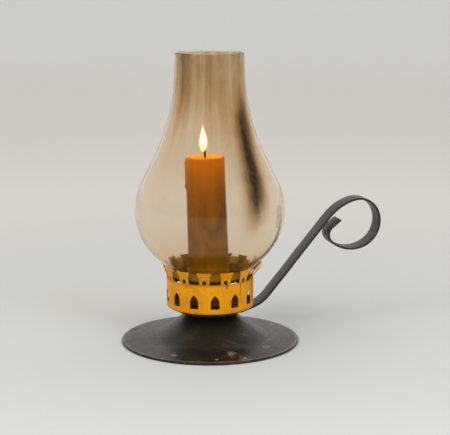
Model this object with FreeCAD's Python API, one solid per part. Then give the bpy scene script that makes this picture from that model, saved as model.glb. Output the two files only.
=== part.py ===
import FreeCAD, Part
import math
import os

from FreeCAD import Vector

# A candle chamberstick with a glass hurricane chimney. A hollow stamped base carries a
# strap handle, a shallow wax dish and a pierced gallery band, all drawn together by one
# centre screw. The chimney stands on tongues lanced out of the band, and the candle
# stands in a low cup. Millimetres; Z is the lamp's axis, Z = 0 is the table, and the
# handle points along +X.

# ---- Sheet and fit values ---------------------------------------------------------
sheet = 0.6              # painted steel and brass sheet
sheet_fit = 0.05         # radial play of one pressed ring inside another
glass_seat_gap = 0.3     # chimney's foot above the tongues
soft_gap = 0.3           # between a wax or sprung face and what it lies against
hole_play = 0.2          # radial play of the screw in its holes
thread_play = 0.02       # radial play of the screw in its nut
over = 1.0               # how far a cut runs past the metal it cuts
tiny = 1e-6              # shorter than any real edge

# ---- Base pan ---------------------------------------------------------------------
base_radius = 82.5
crown_height = 26.5      # top of the crown above the table
crown_radius = 22.6      # where the crown would meet the cone if the edge were sharp
crown_round = 3.5
cone_slope = 36.0        # degrees, steep middle of the base
skirt_radius = 52.8      # where the cone would meet the flat skirt
skirt_round = 16.0
hem_round = 1.2          # outside radius of the rolled hem, and half its height
hem_return = 2.0         # flat length of the hem that stands on the table
wire_play = 0.02

# ---- Handle -----------------------------------------------------------------------
strap_width = 18.0
strap_thickness = 2.0
strap_bend = 2.0         # inside radius of the first bend
strap_lead_slope = 19.0  # degrees, from the first bend out to the main bend
strap_standoff = 8.5     # from the band out to the handle's main bend
strap_main_bend = 36.0   # radius of the main bend, on the strap's centre line
strap_slope = 50.3       # degrees, the long straight run
strap_run = 102.0        # length of that run, from the main bend to the scroll
# The scroll is arcs on the centre line, each a radius and a clockwise turn in degrees.
scroll = ((46.0, 37.0), (20.0, 81.0), (25.0, 88.0), (30.5, 66.0), (9.0, 99.0))
scroll_tip = 10.9        # straight end of the scroll

# ---- Wax dish ---------------------------------------------------------------------
dish_margin = 7.9        # flat floor outside the cup, up to where it would meet the slope
dish_slope = 26.0        # degrees, sloping wall
dish_round = 3.0
dish_rim_height = 10.1   # rim above the dish's underside

# ---- Gallery band -----------------------------------------------------------------
chimney_play = 1.6       # chimney foot to the band's inside, radially
band_height = 27.2       # from the lower edge up to the shoulder
band_wrap = 28.0         # degrees, how far the lower edge follows the dish's corner
repeats = 13
first_tab = 248.6        # degrees, direction of the first tab's middle
tab_height = 12.5
tab_lean = 3.7           # how far a tab's tip stands out from the band
open_tab_lean = 8.7      # the same for the tabs that are bent open, beside the handle
open_tabs = (3, 4)       # which tabs those are, counted from the first
tab_bend_rise = 1.0      # from the shoulder up to where a tab bends outwards
tab_bend_round = 4.0
tab_gap = 10.3           # between tabs at the waist
ear_gap = 7.0            # between the ears of neighbouring tabs
gap_corner = 0.6         # corners at the foot of a gap
ear_height = 5.0         # from the waist up to the ear's point
tab_dip = 1.0            # hollow of a tab's top edge
tongue_width = 3.6
tongue_length = 4.5
window_width = 8.1
window_height = 12.7
window_drop = 22.3       # window's sill below the band's shoulder
arch_rise = 7.1          # height of the window's pointed arch
arch_haunch = (0.66, 0.62)  # a point of its side, in shares of half the width and of the rise
seam_offset = 5.3        # degrees from the third tab's middle back to the seam's edge
seam_slit_width = 0.35
seam_slit_depth = 11.5
seam_edge = 1.0          # degrees, the lap starts this far before the outer end
lap_width = 8.0

# ---- Glass chimney ----------------------------------------------------------------
foot_radius = 38.1       # outside of the chimney's foot
foot_height = 7.4        # straight foot, up to the sharp corner with the bulb
foot_round = 8.0
glass_wall = 2.0
bulb_radius = 69.1       # widest point, outside
bulb_rise = 61.5         # widest point above the chimney's foot
bulb_round = 58.2        # radius of the bulb's side
shoulder_slope = 26.1    # degrees from the axis, above the bulb
flue_radius = 31.3       # outside, at the chimney's mouth
flue_taper = 2.0         # degrees
flue_round = 190.0
chimney_height = 205.9
glass_lip = 0.8          # fire-polished edge

# ---- Candle, its cup and the wick --------------------------------------------------
candle_foot_radius = 19.0
candle_top_radius = 17.9
candle_length = 144.0
candle_shoulder = 2.5    # melted edge round the top
pool_depth = 3.0         # hollow melted round the wick
pool_margin = 3.0        # from the hollow's edge to the candle's side
pool_lip = 1.0           # run of the melted lip into the hollow
pool_lip_round = 1.5
pool_round = 3.0
screw_room = 2.0         # from the screw's head out to the candle's recess
candle_recess_depth = 2.6
candle_play = 0.5        # radial play in the cup
candle_lean = 1.8        # degrees, the candle stands a little askew on its foot's edge
candle_lean_side = 166.0 # degrees, the direction it leans in
foot_edge = 0.8          # rounding of the candle's foot
cup_sheet = 0.5
cup_height = 8.0
cup_corner = 1.2
cup_lip = 1.2            # how far the cup's edge flares
wick_radius = 1.0
wick_play = 0.05
wick_above_pool = 9.0    # straight part of the wick over the hollow
wick_curl_radius = 5.0
wick_curl = 50.0         # degrees, the burnt end's bend

# ---- Fasteners --------------------------------------------------------------------
screw_radius = 2.5
screw_head_radius = 5.5
screw_head_height = 2.0
screw_slot_width = 1.2
screw_slot_depth = 1.0
screw_tail = 2.0         # screw past the nut
screw_point = 0.5        # bevel on the screw's end
washer_radius = 7.5
washer_thickness = 1.0
lock_washer_radius = 4.6
lock_washer_thickness = 1.2
lock_washer_split = 1.0
nut_across_flats = 8.0
nut_height = 4.0
nut_bevel = 0.6
rivet_radius = 1.2
rivet_head_radius = 1.9
rivet_head_height = 0.9
rivet_inset = 4.4        # from the dish floor's edge in to the rivets
rivet_spread = 10.0      # between the two rivets

# ---- Worked-out places ------------------------------------------------------------
pitch = 360.0 / repeats
cup_inside = candle_foot_radius + candle_play
dish_flat_radius = cup_inside + cup_sheet + dish_margin
dish_bottom = crown_height + strap_thickness
dish_floor = dish_bottom + sheet
band_inside = foot_radius + chimney_play
band_radius = band_inside + sheet
dish_radius = band_inside - sheet_fit
dish_rim = dish_bottom + dish_rim_height
dish_wall_start = dish_bottom + (dish_radius - dish_flat_radius) * math.tan(math.radians(dish_slope))
dish_bend_top = dish_wall_start + dish_round * math.tan(math.radians(45 - dish_slope / 2))
wrap_round = dish_round + sheet_fit + sheet
band_bottom = dish_bend_top - wrap_round * math.sin(math.radians(band_wrap))
band_shoulder = band_bottom + band_height
tab_tip = band_shoulder + tab_height
window_sill = band_shoulder - window_drop
chimney_foot = band_shoulder + glass_seat_gap
cup_floor = dish_floor + cup_sheet
candle_foot = cup_floor
candle_top = candle_foot + candle_length
crown_underside = crown_height - sheet
washer_bottom = crown_underside - washer_thickness
lock_washer_bottom = washer_bottom - lock_washer_thickness
nut_bottom = lock_washer_bottom - nut_height
hole_radius = screw_radius + hole_play
cut_near = band_inside - 2 * sheet
cut_far = band_radius + 2 * open_tab_lean


# ---- Geometry helpers --------------------------------------------------------------
def point(x, z):
    """A point of the section plane."""
    return Vector(x, 0, z)


def rounded_edges(corners):
    """Lines through corners (x, z, radius), with a tangent arc at each that has a radius."""
    edges = []
    last = point(corners[0][0], corners[0][1])
    for before, here, after in zip(corners, corners[1:], corners[2:]):
        corner = point(here[0], here[1])
        back = (point(before[0], before[1]) - corner).normalize()
        onward = (point(after[0], after[1]) - corner).normalize()
        half = back.getAngle(onward) / 2
        radius = here[2]
        if radius <= 0 or half > math.pi / 2 - tiny:
            start = end = corner
        else:
            reach = radius / math.tan(half)
            start = corner + back * reach
            end = corner + onward * reach
        if (start - last).Length > tiny:
            edges.append(Part.LineSegment(last, start).toShape())
        if (end - start).Length > tiny:
            bisector = (back + onward).normalize()
            middle = corner + bisector * (radius / math.sin(half) - radius)
            edges.append(Part.Arc(start, middle, end).toShape())
        last = end
    finish = point(corners[-1][0], corners[-1][1])
    if (finish - last).Length > tiny:
        edges.append(Part.LineSegment(last, finish).toShape())
    return edges


def offset_corners(corners, distance):
    """The same path moved sideways by distance, positive to the left of its direction."""
    spans = []
    for a, b in zip(corners, corners[1:]):
        along = (point(b[0], b[1]) - point(a[0], a[1])).normalize()
        left = Vector(-along.z, 0, along.x)
        spans.append((point(a[0], a[1]) + left * distance, along))
    moved = [(spans[0][0].x, spans[0][0].z, 0)]
    for (p, d), (q, e), corner in zip(spans, spans[1:], corners[1:]):
        turn = d.x * e.z - d.z * e.x
        gap = q - p
        step = (gap.x * e.z - gap.z * e.x) / turn
        where = p + d * step
        grown = corner[2] - distance if turn > 0 else corner[2] + distance
        moved.append((where.x, where.z, max(grown, 0) if corner[2] > 0 else 0))
    end = point(corners[-1][0], corners[-1][1])
    last = Vector(-spans[-1][1].z, 0, spans[-1][1].x)
    end = end + last * distance
    moved.append((end.x, end.z, 0))
    return moved


def closed_face(corners):
    """A flat face inside a closed path of corners."""
    edges = rounded_edges(list(corners) + [corners[0]])
    return Part.Face(Part.Wire(edges))


def sheet_face(corners, thickness):
    """Section of a bent sheet: a path and its offset, joined at both ends."""
    side = rounded_edges(corners)
    other = rounded_edges(offset_corners(corners, thickness))
    first, last = side[0].Vertexes[0].Point, side[-1].Vertexes[-1].Point
    start, end = other[0].Vertexes[0].Point, other[-1].Vertexes[-1].Point
    caps = [Part.LineSegment(last, end).toShape(), Part.LineSegment(start, first).toShape()]
    return Part.Face(Part.Wire(Part.__sortEdges__(side + other + caps)))


def turned(face, sweep=360.0, start=0.0):
    """A section turned about the lamp's axis."""
    solid = face.revolve(Vector(0, 0, 0), Vector(0, 0, 1), sweep)
    solid.rotate(Vector(0, 0, 0), Vector(0, 0, 1), start)
    return solid


def ring(outer, inner, bottom, height):
    """A flat ring on the lamp's axis."""
    body = Part.makeCylinder(outer, height, Vector(0, 0, bottom))
    return body.cut(Part.makeCylinder(inner, height + 2 * over, Vector(0, 0, bottom - over)))


def radial_prism(face, direction, near, far):
    """A section, drawn as (sideways, z), pushed outwards from near to far in a direction."""
    prism = face.extrude(Vector(0, near - far, 0))
    prism.translate(Vector(0, -near, 0))
    prism.rotate(Vector(0, 0, 0), Vector(0, 0, 1), direction + 90)
    return prism


def write(name, shape):
    """Checks a sub-part and writes it to its own STEP file."""
    solids = shape.Solids
    if not solids or not shape.isValid() or any(not s.isClosed() or s.Volume <= 0 for s in solids):
        raise ValueError(f"{name} is not a sound solid")
    kept = solids[0] if len(solids) == 1 else Part.makeCompound(solids)
    kept.exportStep(f"parts/{name}.step")
    print(f"{name}: {len(solids)} solid(s), {shape.Volume / 1000:.2f} cm3")


# ---- Base -------------------------------------------------------------------------
def base_pan():
    """Hollow stamped base: flat crown, steep cone, shallow skirt, and a hem round a wire."""
    cone = math.tan(math.radians(cone_slope))
    skirt_height = crown_height - (skirt_radius - crown_radius) * cone
    hem_height = 2 * hem_round
    corners = (
        (hole_radius, crown_height, 0),
        (crown_radius, crown_height, crown_round),
        (skirt_radius, skirt_height, skirt_round),
        (base_radius - 2 * hem_round, hem_height, hem_round),
        (base_radius, hem_height, hem_round),
        (base_radius, 0, hem_round),
        (base_radius - hem_round - hem_return, 0, 0),
    )
    return turned(sheet_face(corners, -sheet))


def rim_wire():
    """Steel wire that stiffens the rim, inside the hem."""
    wire_radius = hem_round - sheet - wire_play
    return Part.makeTorus(base_radius - hem_round, wire_radius, Vector(0, 0, hem_round))


# ---- Handle -----------------------------------------------------------------------
def strap_path(side):
    """Edges of the strap's long section, side millimetres to the left of its centre line."""
    rise = math.tan(math.radians(strap_lead_slope))
    main = math.tan(math.radians(strap_slope))
    level = crown_height + strap_thickness / 2
    # the first bend lies soft_gap outside the dish's flat floor
    bend_shift = strap_thickness / 2 * math.tan(math.radians(strap_lead_slope) / 2)
    first = dish_flat_radius + soft_gap + bend_shift
    turn_x = band_radius + strap_standoff
    turn_z = level + (turn_x - first) * rise
    end_x = turn_x + strap_run * math.cos(math.radians(strap_slope))
    corners = [
        (-strap_width / 2, level, 0),
        (first, level, strap_bend + strap_thickness / 2),
        (turn_x, turn_z, strap_main_bend),
        (end_x, turn_z + (end_x - turn_x) * main, 0),
    ]
    edges = rounded_edges(offset_corners(corners, side) if side else corners)
    here = edges[-1].Vertexes[-1].Point
    heading = math.radians(strap_slope)
    for radius, turn in scroll:
        radius += side
        left = Vector(-math.sin(heading), 0, math.cos(heading))
        centre = here - left * radius
        half = heading - math.radians(turn) / 2
        heading -= math.radians(turn)
        middle = centre + Vector(-math.sin(half), 0, math.cos(half)) * radius
        after = centre + Vector(-math.sin(heading), 0, math.cos(heading)) * radius
        edges.append(Part.Arc(here, middle, after).toShape())
        here = after
    tip = here + Vector(math.cos(heading), 0, math.sin(heading)) * scroll_tip
    edges.append(Part.LineSegment(here, tip).toShape())
    return edges


def rivet_places():
    """Where the two rivets pass through the strap and the dish's floor."""
    x = dish_flat_radius - rivet_inset
    return [Vector(x, side * rivet_spread / 2, 0) for side in (-1, 1)]


def rivet_hole(where):
    """Hole for one rivet, countersunk under the strap."""
    foot = where + Vector(0, 0, crown_height)
    shank = Part.makeCylinder(rivet_radius, strap_thickness + sheet + over, foot)
    flare = rivet_head_radius - rivet_radius
    sink = Part.makeCone(rivet_head_radius, rivet_radius, flare, foot)
    return shank.fuse(sink)


def handle_strap():
    """Flat bar bent along the dish, up beside the chimney and round into a finger scroll."""
    half = strap_thickness / 2
    upper, lower = strap_path(half), strap_path(-half)
    caps = [
        Part.LineSegment(a.Point, b.Point).toShape()
        for a, b in (
            (upper[0].Vertexes[0], lower[0].Vertexes[0]),
            (upper[-1].Vertexes[-1], lower[-1].Vertexes[-1]),
        )
    ]
    face = Part.Face(Part.Wire(Part.__sortEdges__(upper + lower + caps)))
    face.translate(Vector(0, -strap_width / 2, 0))
    strap = face.extrude(Vector(0, strap_width, 0))
    # the inner end is rounded about the screw
    below = Vector(0, 0, crown_height - over)
    height = strap_thickness + 2 * over
    square = Part.makeBox(strap_width, strap_width + 2 * over, height)
    square.translate(Vector(-strap_width, -strap_width / 2 - over, below.z))
    round_end = Part.makeCylinder(strap_width / 2, height, below)
    strap = strap.cut(square.cut(round_end))
    strap = strap.cut(Part.makeCylinder(hole_radius, height, below))
    for where in rivet_places():
        strap = strap.cut(rivet_hole(where))
    return strap


def handle_rivets():
    """Two rivets, flush under the strap and with a low dome on the dish's floor."""
    rivets = []
    flare = rivet_head_radius - rivet_radius
    for where in rivet_places():
        shank = Part.makeCylinder(
            rivet_radius, dish_floor - crown_height, where + Vector(0, 0, crown_height)
        )
        foot = Part.makeCone(rivet_head_radius, rivet_radius, flare, where + Vector(0, 0, crown_height))
        ball = (rivet_head_radius**2 + rivet_head_height**2) / (2 * rivet_head_height)
        dome = Part.makeSphere(ball, where + Vector(0, 0, dish_floor + rivet_head_height - ball))
        keep = Part.makeCylinder(2 * rivet_head_radius, ball, where + Vector(0, 0, dish_floor))
        rivets.append(shank.fuse(foot).fuse(dome.common(keep)).removeSplitter())
    return Part.makeCompound(rivets)


# ---- Dish and gallery --------------------------------------------------------------
def candle_dish():
    """Shallow pan that catches the wax and carries the band."""
    corners = (
        (hole_radius, dish_bottom, 0),
        (dish_flat_radius, dish_bottom, dish_round),
        (dish_radius, dish_wall_start, dish_round),
        (dish_radius, dish_rim, 0),
    )
    dish = turned(sheet_face(corners, sheet))
    for where in rivet_places():
        dish = dish.cut(rivet_hole(where))
    return dish


def band_section(lean):
    """Section of the band: lower edge wrapped under the dish, upright wall and leaning tab."""
    wrap = math.radians(band_wrap)
    corners = (
        (band_radius - wrap_round * (1 - math.cos(wrap)), band_bottom, 0),
        (band_radius, dish_bend_top - wrap_round * math.tan(wrap / 2), wrap_round),
        (band_radius, band_shoulder + tab_bend_rise, tab_bend_round),
        (band_radius + lean, tab_tip, 0),
    )
    return sheet_face(corners, sheet)


def gap_face():
    """Gap between two tabs: square at the shoulder, narrowing to the ears."""
    waist = tab_tip - ear_height
    return closed_face((
        (-tab_gap / 2, band_shoulder, gap_corner),
        (tab_gap / 2, band_shoulder, gap_corner),
        (tab_gap / 2, waist, ear_height),
        (ear_gap / 2, tab_tip, 0),
        (ear_gap / 2, tab_tip + over, 0),
        (-ear_gap / 2, tab_tip + over, 0),
        (-ear_gap / 2, tab_tip, 0),
        (-tab_gap / 2, waist, ear_height),
    ))


def tab_top_face():
    """What is taken off a tab's top edge to hollow it."""
    reach = pitch / 360 * 2 * math.pi * (band_radius + tab_lean) / 2
    edges = [
        Part.Arc(point(-reach, tab_tip), point(0, tab_tip - tab_dip), point(reach, tab_tip)).toShape(),
        Part.LineSegment(point(reach, tab_tip), point(reach, tab_tip + over)).toShape(),
        Part.LineSegment(point(reach, tab_tip + over), point(-reach, tab_tip + over)).toShape(),
        Part.LineSegment(point(-reach, tab_tip + over), point(-reach, tab_tip)).toShape(),
    ]
    return Part.Face(Part.Wire(edges))


def pointed_arch_face(width, height, sill):
    """An upright opening with a pointed arch over it."""
    half = width / 2
    spring = sill + height - arch_rise
    top = point(0, sill + height)
    side, lift = arch_haunch[0] * half, arch_haunch[1] * arch_rise
    edges = [
        Part.LineSegment(point(-half, sill), point(half, sill)).toShape(),
        Part.LineSegment(point(half, sill), point(half, spring)).toShape(),
        Part.Arc(point(half, spring), point(side, spring + lift), top).toShape(),
        Part.Arc(top, point(-side, spring + lift), point(-half, spring)).toShape(),
        Part.LineSegment(point(-half, spring), point(-half, sill)).toShape(),
    ]
    return Part.Face(Part.Wire(edges))


def round_arch_face(width, height, sill):
    """An upright opening with a round arch over it."""
    half = width / 2
    spring = sill + height - half
    edges = [
        Part.LineSegment(point(-half, sill), point(half, sill)).toShape(),
        Part.LineSegment(point(half, sill), point(half, spring)).toShape(),
        Part.Arc(point(half, spring), point(0, sill + height), point(-half, spring)).toShape(),
        Part.LineSegment(point(-half, spring), point(-half, sill)).toShape(),
    ]
    return Part.Face(Part.Wire(edges))


def tongue():
    """Ledge for the chimney, lanced out of the band and bent in, pointing along +X."""
    tip = band_radius - tongue_length
    half = tongue_width / 2
    plate = Part.makeBox(tongue_length - half - sheet / 2, tongue_width, sheet)
    plate.translate(Vector(tip + half, -half, band_shoulder - sheet))
    end = Part.makeCylinder(half, sheet, Vector(tip + half, 0, band_shoulder - sheet))
    return plate.fuse(end).removeSplitter()


def gallery_band():
    """Pierced gallery: arched windows, a crown of fish-tailed tabs and the chimney's ledges."""
    first_open = first_tab + (min(open_tabs) - 0.5) * pitch
    open_sweep = len(open_tabs) * pitch
    plain = turned(band_section(tab_lean), 360 - open_sweep, first_open + open_sweep)
    opened = turned(band_section(open_tab_lean), open_sweep, first_open)
    cuts = []
    for step in range(repeats):
        tab = first_tab + step * pitch
        gap = tab + pitch / 2
        cuts.append(radial_prism(gap_face(), gap, cut_near, cut_far))
        cuts.append(radial_prism(tab_top_face(), tab, cut_near, cut_far))
        arch = round_arch_face(tongue_width, tongue_length, band_shoulder)
        cuts.append(radial_prism(arch, tab, cut_near, cut_far))
        window = pointed_arch_face(window_width, window_height, window_sill)
        cuts.append(radial_prism(window, gap, cut_near, cut_far))
    band = plain.fuse(opened).removeSplitter().cut(cuts)
    # the strip's end laps inside itself, and the outer end has sprung a little at the top
    seam = first_tab + 2 * pitch - seam_offset
    lap_bottom = dish_rim + soft_gap
    lap_sweep = math.degrees(lap_width / band_inside)
    lap_height = band_shoulder - 2 * sheet - lap_bottom
    lap = ring(band_inside + sheet / 2, band_inside - sheet, lap_bottom, lap_height)
    wedge = turned(
        closed_face((
            (cut_near, band_bottom, 0),
            (cut_far, band_bottom, 0),
            (cut_far, tab_tip, 0),
            (cut_near, tab_tip, 0),
        )),
        lap_sweep,
        seam - seam_edge,
    )
    slit = Part.makeBox(sheet + over, seam_slit_width, seam_slit_depth)
    slit.translate(Vector(band_inside, -seam_slit_width / 2, band_shoulder - seam_slit_depth))
    slit.rotate(Vector(0, 0, 0), Vector(0, 0, 1), seam)
    ledges = []
    for step in range(repeats):
        ledge = tongue()
        ledge.rotate(Vector(0, 0, 0), Vector(0, 0, 1), first_tab + step * pitch)
        ledges.append(ledge)
    return band.cut(slit).fuse([lap.common(wedge)] + ledges).removeSplitter()


# ---- Chimney ----------------------------------------------------------------------
def chimney():
    """Blown glass chimney: straight foot, round bulb, long shoulder and a slim flue."""
    bulb_z = chimney_foot + bulb_rise
    centre_r = bulb_radius - bulb_round
    top = chimney_foot + chimney_height
    upper = math.radians(shoulder_slope)
    flue = math.tan(math.radians(flue_taper))
    foot_corner = chimney_foot + foot_height
    # the line from the foot's corner that touches the bulb's circle from below
    dx, dz = foot_radius - centre_r, foot_corner - bulb_z
    away = math.atan2(dz, dx)
    lower = away + math.acos(bulb_round / math.hypot(dx, dz))
    # where the two tangents to the bulb meet, at the middle of their directions
    mean, spread = (upper + lower) / 2, (upper - lower) / 2
    reach = bulb_round / math.cos(spread)
    bulb = (centre_r + reach * math.cos(mean), bulb_z + reach * math.sin(mean))
    # where the shoulder meets the flue
    fall = math.tan(upper)
    neck_z = (bulb[0] + fall * bulb[1] - flue_radius - flue * top) / (fall - flue)
    neck = (flue_radius + flue * (top - neck_z), neck_z)
    outside = (
        (foot_radius, chimney_foot, 0),
        (foot_radius, foot_corner, foot_round),
        (bulb[0], bulb[1], bulb_round),
        (neck[0], neck[1], flue_round),
        (flue_radius, top, 0),
    )
    wall = sheet_face(outside, glass_wall)
    glass = turned(wall)
    ends = []
    for edge in glass.Edges:
        box = edge.BoundBox
        flat = box.ZLength < tiny
        if flat and (abs(box.ZMin - chimney_foot) < tiny or abs(box.ZMax - top) < glass_wall / 2):
            ends.append(edge)
    return glass.makeFillet(glass_lip, ends)


# ---- Candle -----------------------------------------------------------------------
def candle_cup():
    """Low cup that holds the candle's foot."""
    corners = (
        (hole_radius, dish_floor, 0),
        (cup_inside + cup_sheet, dish_floor, cup_corner),
        (cup_inside + cup_sheet, dish_floor + cup_height - cup_lip, cup_lip),
        (cup_inside + cup_sheet + cup_lip, dish_floor + cup_height, 0),
    )
    return turned(sheet_face(corners, cup_sheet))


def leaned(shape):
    """The candle or its wick, tipped about the foot's edge on the leaning side."""
    side = math.radians(candle_lean_side)
    reach = candle_foot_radius - foot_edge
    edge = Vector(reach * math.cos(side), reach * math.sin(side), candle_foot)
    tipped = shape.copy()
    tipped.rotate(edge, Vector(-math.sin(side), math.cos(side), 0), candle_lean)
    return tipped


def candle():
    """Tapered candle, hollowed by its flame and recessed over the screw's head."""
    pool = candle_top_radius - pool_margin
    recess = screw_head_radius + screw_room
    bore = wick_radius + wick_play
    recess_top = candle_foot + candle_recess_depth
    profile = (
        (bore, recess_top, 0),
        (recess, recess_top, 0),
        (recess, candle_foot, 0),
        (candle_foot_radius, candle_foot, foot_edge),
        (candle_top_radius, candle_top, candle_shoulder),
        (pool + pool_lip, candle_top, pool_lip_round),
        (pool / 2, candle_top - pool_depth, pool_round),
        (bore, candle_top - pool_depth, 0),
    )
    return leaned(turned(closed_face(profile)))


def wick():
    """Braided wick through the whole candle, with its burnt end bent over."""
    bottom = candle_foot + candle_recess_depth
    straight = candle_top - pool_depth + wick_above_pool
    bend = math.radians(wick_curl)
    centre = point(-wick_curl_radius, straight)
    arc = Part.Arc(
        point(0, straight),
        centre + point(math.cos(bend / 2), math.sin(bend / 2)) * wick_curl_radius,
        centre + point(math.cos(bend), math.sin(bend)) * wick_curl_radius,
    ).toShape()
    line = Part.LineSegment(point(0, bottom), point(0, straight)).toShape()
    section = Part.Wire(Part.makeCircle(wick_radius, point(0, bottom), Vector(0, 0, 1)))
    return leaned(Part.Wire([line, arc]).makePipeShell([section], True, False))


# ---- Fasteners --------------------------------------------------------------------
def centre_screw():
    """Slotted screw with a low domed head, down through the whole stack."""
    ball = (screw_head_radius**2 + screw_head_height**2) / (2 * screw_head_height)
    dome = Part.makeSphere(ball, Vector(0, 0, cup_floor + screw_head_height - ball))
    head = dome.common(Part.makeCylinder(2 * screw_head_radius, ball, Vector(0, 0, cup_floor)))
    slot = Part.makeBox(4 * screw_head_radius, screw_slot_width, screw_slot_depth + over)
    slot.translate(Vector(
        -2 * screw_head_radius,
        -screw_slot_width / 2,
        cup_floor + screw_head_height - screw_slot_depth,
    ))
    tail = nut_bottom - screw_tail
    shank = Part.makeCylinder(screw_radius, cup_floor - tail, Vector(0, 0, tail))
    point_end = shank.makeChamfer(screw_point, [e for e in shank.Edges if e.BoundBox.ZMax < tail + tiny])
    return head.cut(slot).fuse(point_end).removeSplitter()


def base_washer():
    """Wide washer under the crown."""
    return ring(washer_radius, hole_radius, washer_bottom, washer_thickness)


def lock_washer():
    """Split spring washer over the nut."""
    body = ring(lock_washer_radius, hole_radius, lock_washer_bottom, lock_washer_thickness)
    split = Part.makeBox(2 * lock_washer_radius, lock_washer_split, 2 * lock_washer_thickness)
    split.translate(Vector(0, -lock_washer_split / 2, lock_washer_bottom - lock_washer_thickness / 2))
    return body.cut(split)


def centre_nut():
    """Hexagon nut inside the base."""
    corner = nut_across_flats / math.sqrt(3)
    turns = [math.radians(60 * k) for k in range(7)]
    outline = [Vector(corner * math.cos(a), corner * math.sin(a), nut_bottom) for a in turns]
    body = Part.Face(Part.makePolygon(outline)).extrude(Vector(0, 0, nut_height))
    bevel = Part.makeCone(
        corner + 2 * nut_bevel, corner - nut_bevel, nut_height, Vector(0, 0, nut_bottom)
    )
    bevel = bevel.mirror(Vector(0, 0, nut_bottom + nut_height / 2), Vector(0, 0, 1))
    bore = Part.makeCylinder(screw_radius + thread_play, nut_height + 2 * over, Vector(0, 0, nut_bottom - over))
    return body.common(bevel).cut(bore)


def main():
    """Builds every sub-part and writes one STEP file for each."""
    os.makedirs("parts", exist_ok=True)
    for build in (
        base_pan,
        rim_wire,
        handle_strap,
        handle_rivets,
        candle_dish,
        gallery_band,
        chimney,
        candle_cup,
        candle,
        wick,
        centre_screw,
        base_washer,
        lock_washer,
        centre_nut,
    ):
        write(build.__name__, build())


main()
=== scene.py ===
"""Looks for a candle chamberstick with a glass hurricane chimney.

Lengths are metres, Z is the lamp's axis, the table is Z = 0 and the handle points along +X.
"""
import logging
import math
from dataclasses import dataclass
from enum import Enum

import bpy
import numpy as np
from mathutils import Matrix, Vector


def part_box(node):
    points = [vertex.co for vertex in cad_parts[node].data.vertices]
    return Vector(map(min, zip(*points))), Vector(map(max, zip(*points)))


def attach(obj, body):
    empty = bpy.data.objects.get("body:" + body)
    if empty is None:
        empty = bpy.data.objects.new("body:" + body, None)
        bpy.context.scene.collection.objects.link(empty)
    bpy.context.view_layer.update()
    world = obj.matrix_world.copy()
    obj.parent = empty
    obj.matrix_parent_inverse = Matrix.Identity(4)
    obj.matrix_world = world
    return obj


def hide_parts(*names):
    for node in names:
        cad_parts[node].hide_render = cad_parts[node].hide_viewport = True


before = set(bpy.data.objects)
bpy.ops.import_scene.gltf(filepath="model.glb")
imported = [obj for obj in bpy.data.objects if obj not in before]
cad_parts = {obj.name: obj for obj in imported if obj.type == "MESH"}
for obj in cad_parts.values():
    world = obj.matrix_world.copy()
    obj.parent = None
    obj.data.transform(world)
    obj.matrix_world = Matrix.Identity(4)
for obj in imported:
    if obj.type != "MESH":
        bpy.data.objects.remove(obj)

LOG = logging.getLogger("candle_lamp")
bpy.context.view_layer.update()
MM = 0.001
LIP_POINTS = 7  # points of a rounded edge, between the faces of its wall
Colour = tuple[float, float, float]
Socket = bpy.types.NodeSocket


# ---- Shapes worked out with numpy ----------------------------------------------------------
def unit(vector: np.ndarray) -> np.ndarray:
    """Returns the vector divided by its length."""
    return vector / np.linalg.norm(vector)


def straight(start: np.ndarray, end: np.ndarray, spacing: float) -> np.ndarray:
    """Points from start up to, but not at, end, evenly spaced: start + t * (end - start).

    Args:
        start: First point, as (across, up).
        end: Last point.
        spacing: Longest distance between two points.

    Returns:
        Array of shape (n, 2), empty where start and end are the same.
    """
    length = float(np.linalg.norm(end - start))
    count = math.ceil(length / spacing) if length > 1e-9 else 0
    return start + np.linspace(0, 1, count, endpoint=False)[:, None] * (end - start)


def arc(centre: np.ndarray, radius: float, start: float, sweep: float, spacing: float) -> np.ndarray:
    """Points of an arc, without its end: centre + radius * (cos a, sin a), a from start by sweep.

    Args:
        centre: Centre, as (across, up).
        radius: Radius of the arc.
        start: First angle, in radians.
        sweep: Signed turn, in radians.
        spacing: Longest distance between two points.

    Returns:
        Array of shape (n, 2).
    """
    count = max(2, math.ceil(abs(sweep) * radius / spacing), math.ceil(abs(sweep) / math.radians(15)))
    angles = start + sweep * np.linspace(0, 1, count, endpoint=False)
    return centre + radius * np.stack([np.cos(angles), np.sin(angles)], axis=-1)


def rounded_path(corners: list[tuple[float, float, float]], spacing: float) -> np.ndarray:
    """Straight runs through corners, with a tangent arc in place of each corner with a radius.

    An arc of radius q in a corner whose half angle is h starts and ends q / tan(h) from the
    corner, and its centre lies q / sin(h) along the corner's bisector.

    Args:
        corners: Corners as (across, up, radius).
        spacing: Longest distance between two points.

    Returns:
        Array of shape (n, 2), both ends included.
    """
    pieces = []
    last = np.array(corners[0][:2], float)
    for before, here, after in zip(corners, corners[1:], corners[2:]):
        corner, radius = np.array(here[:2], float), here[2]
        back = unit(np.array(before[:2]) - corner)
        onward = unit(np.array(after[:2]) - corner)
        half = math.acos(float(np.clip(back @ onward, -1, 1))) / 2
        reach = radius / math.tan(half)
        start, end = corner + back * reach, corner + onward * reach
        pieces.append(straight(last, start, spacing))
        if radius > 0:
            centre = corner + unit(back + onward) * radius / math.sin(half)
            first = math.atan2(*(start - centre)[::-1])
            sweep = math.remainder(math.atan2(*(end - centre)[::-1]) - first, 2 * math.pi)
            pieces.append(arc(centre, radius, first, sweep, spacing))
        last = end
    finish = np.array(corners[-1][:2], float)
    pieces.append(straight(last, finish, spacing))
    return np.concatenate(pieces + [finish[None, :]])


def left_of(path: np.ndarray) -> np.ndarray:
    """Unit normals to the left of a path: its direction (a, b) turned to (-b, a)."""
    along = np.gradient(path, axis=0)
    along /= np.linalg.norm(along, axis=1, keepdims=True)
    return np.stack([-along[:, 1], along[:, 0]], axis=-1)


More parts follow.
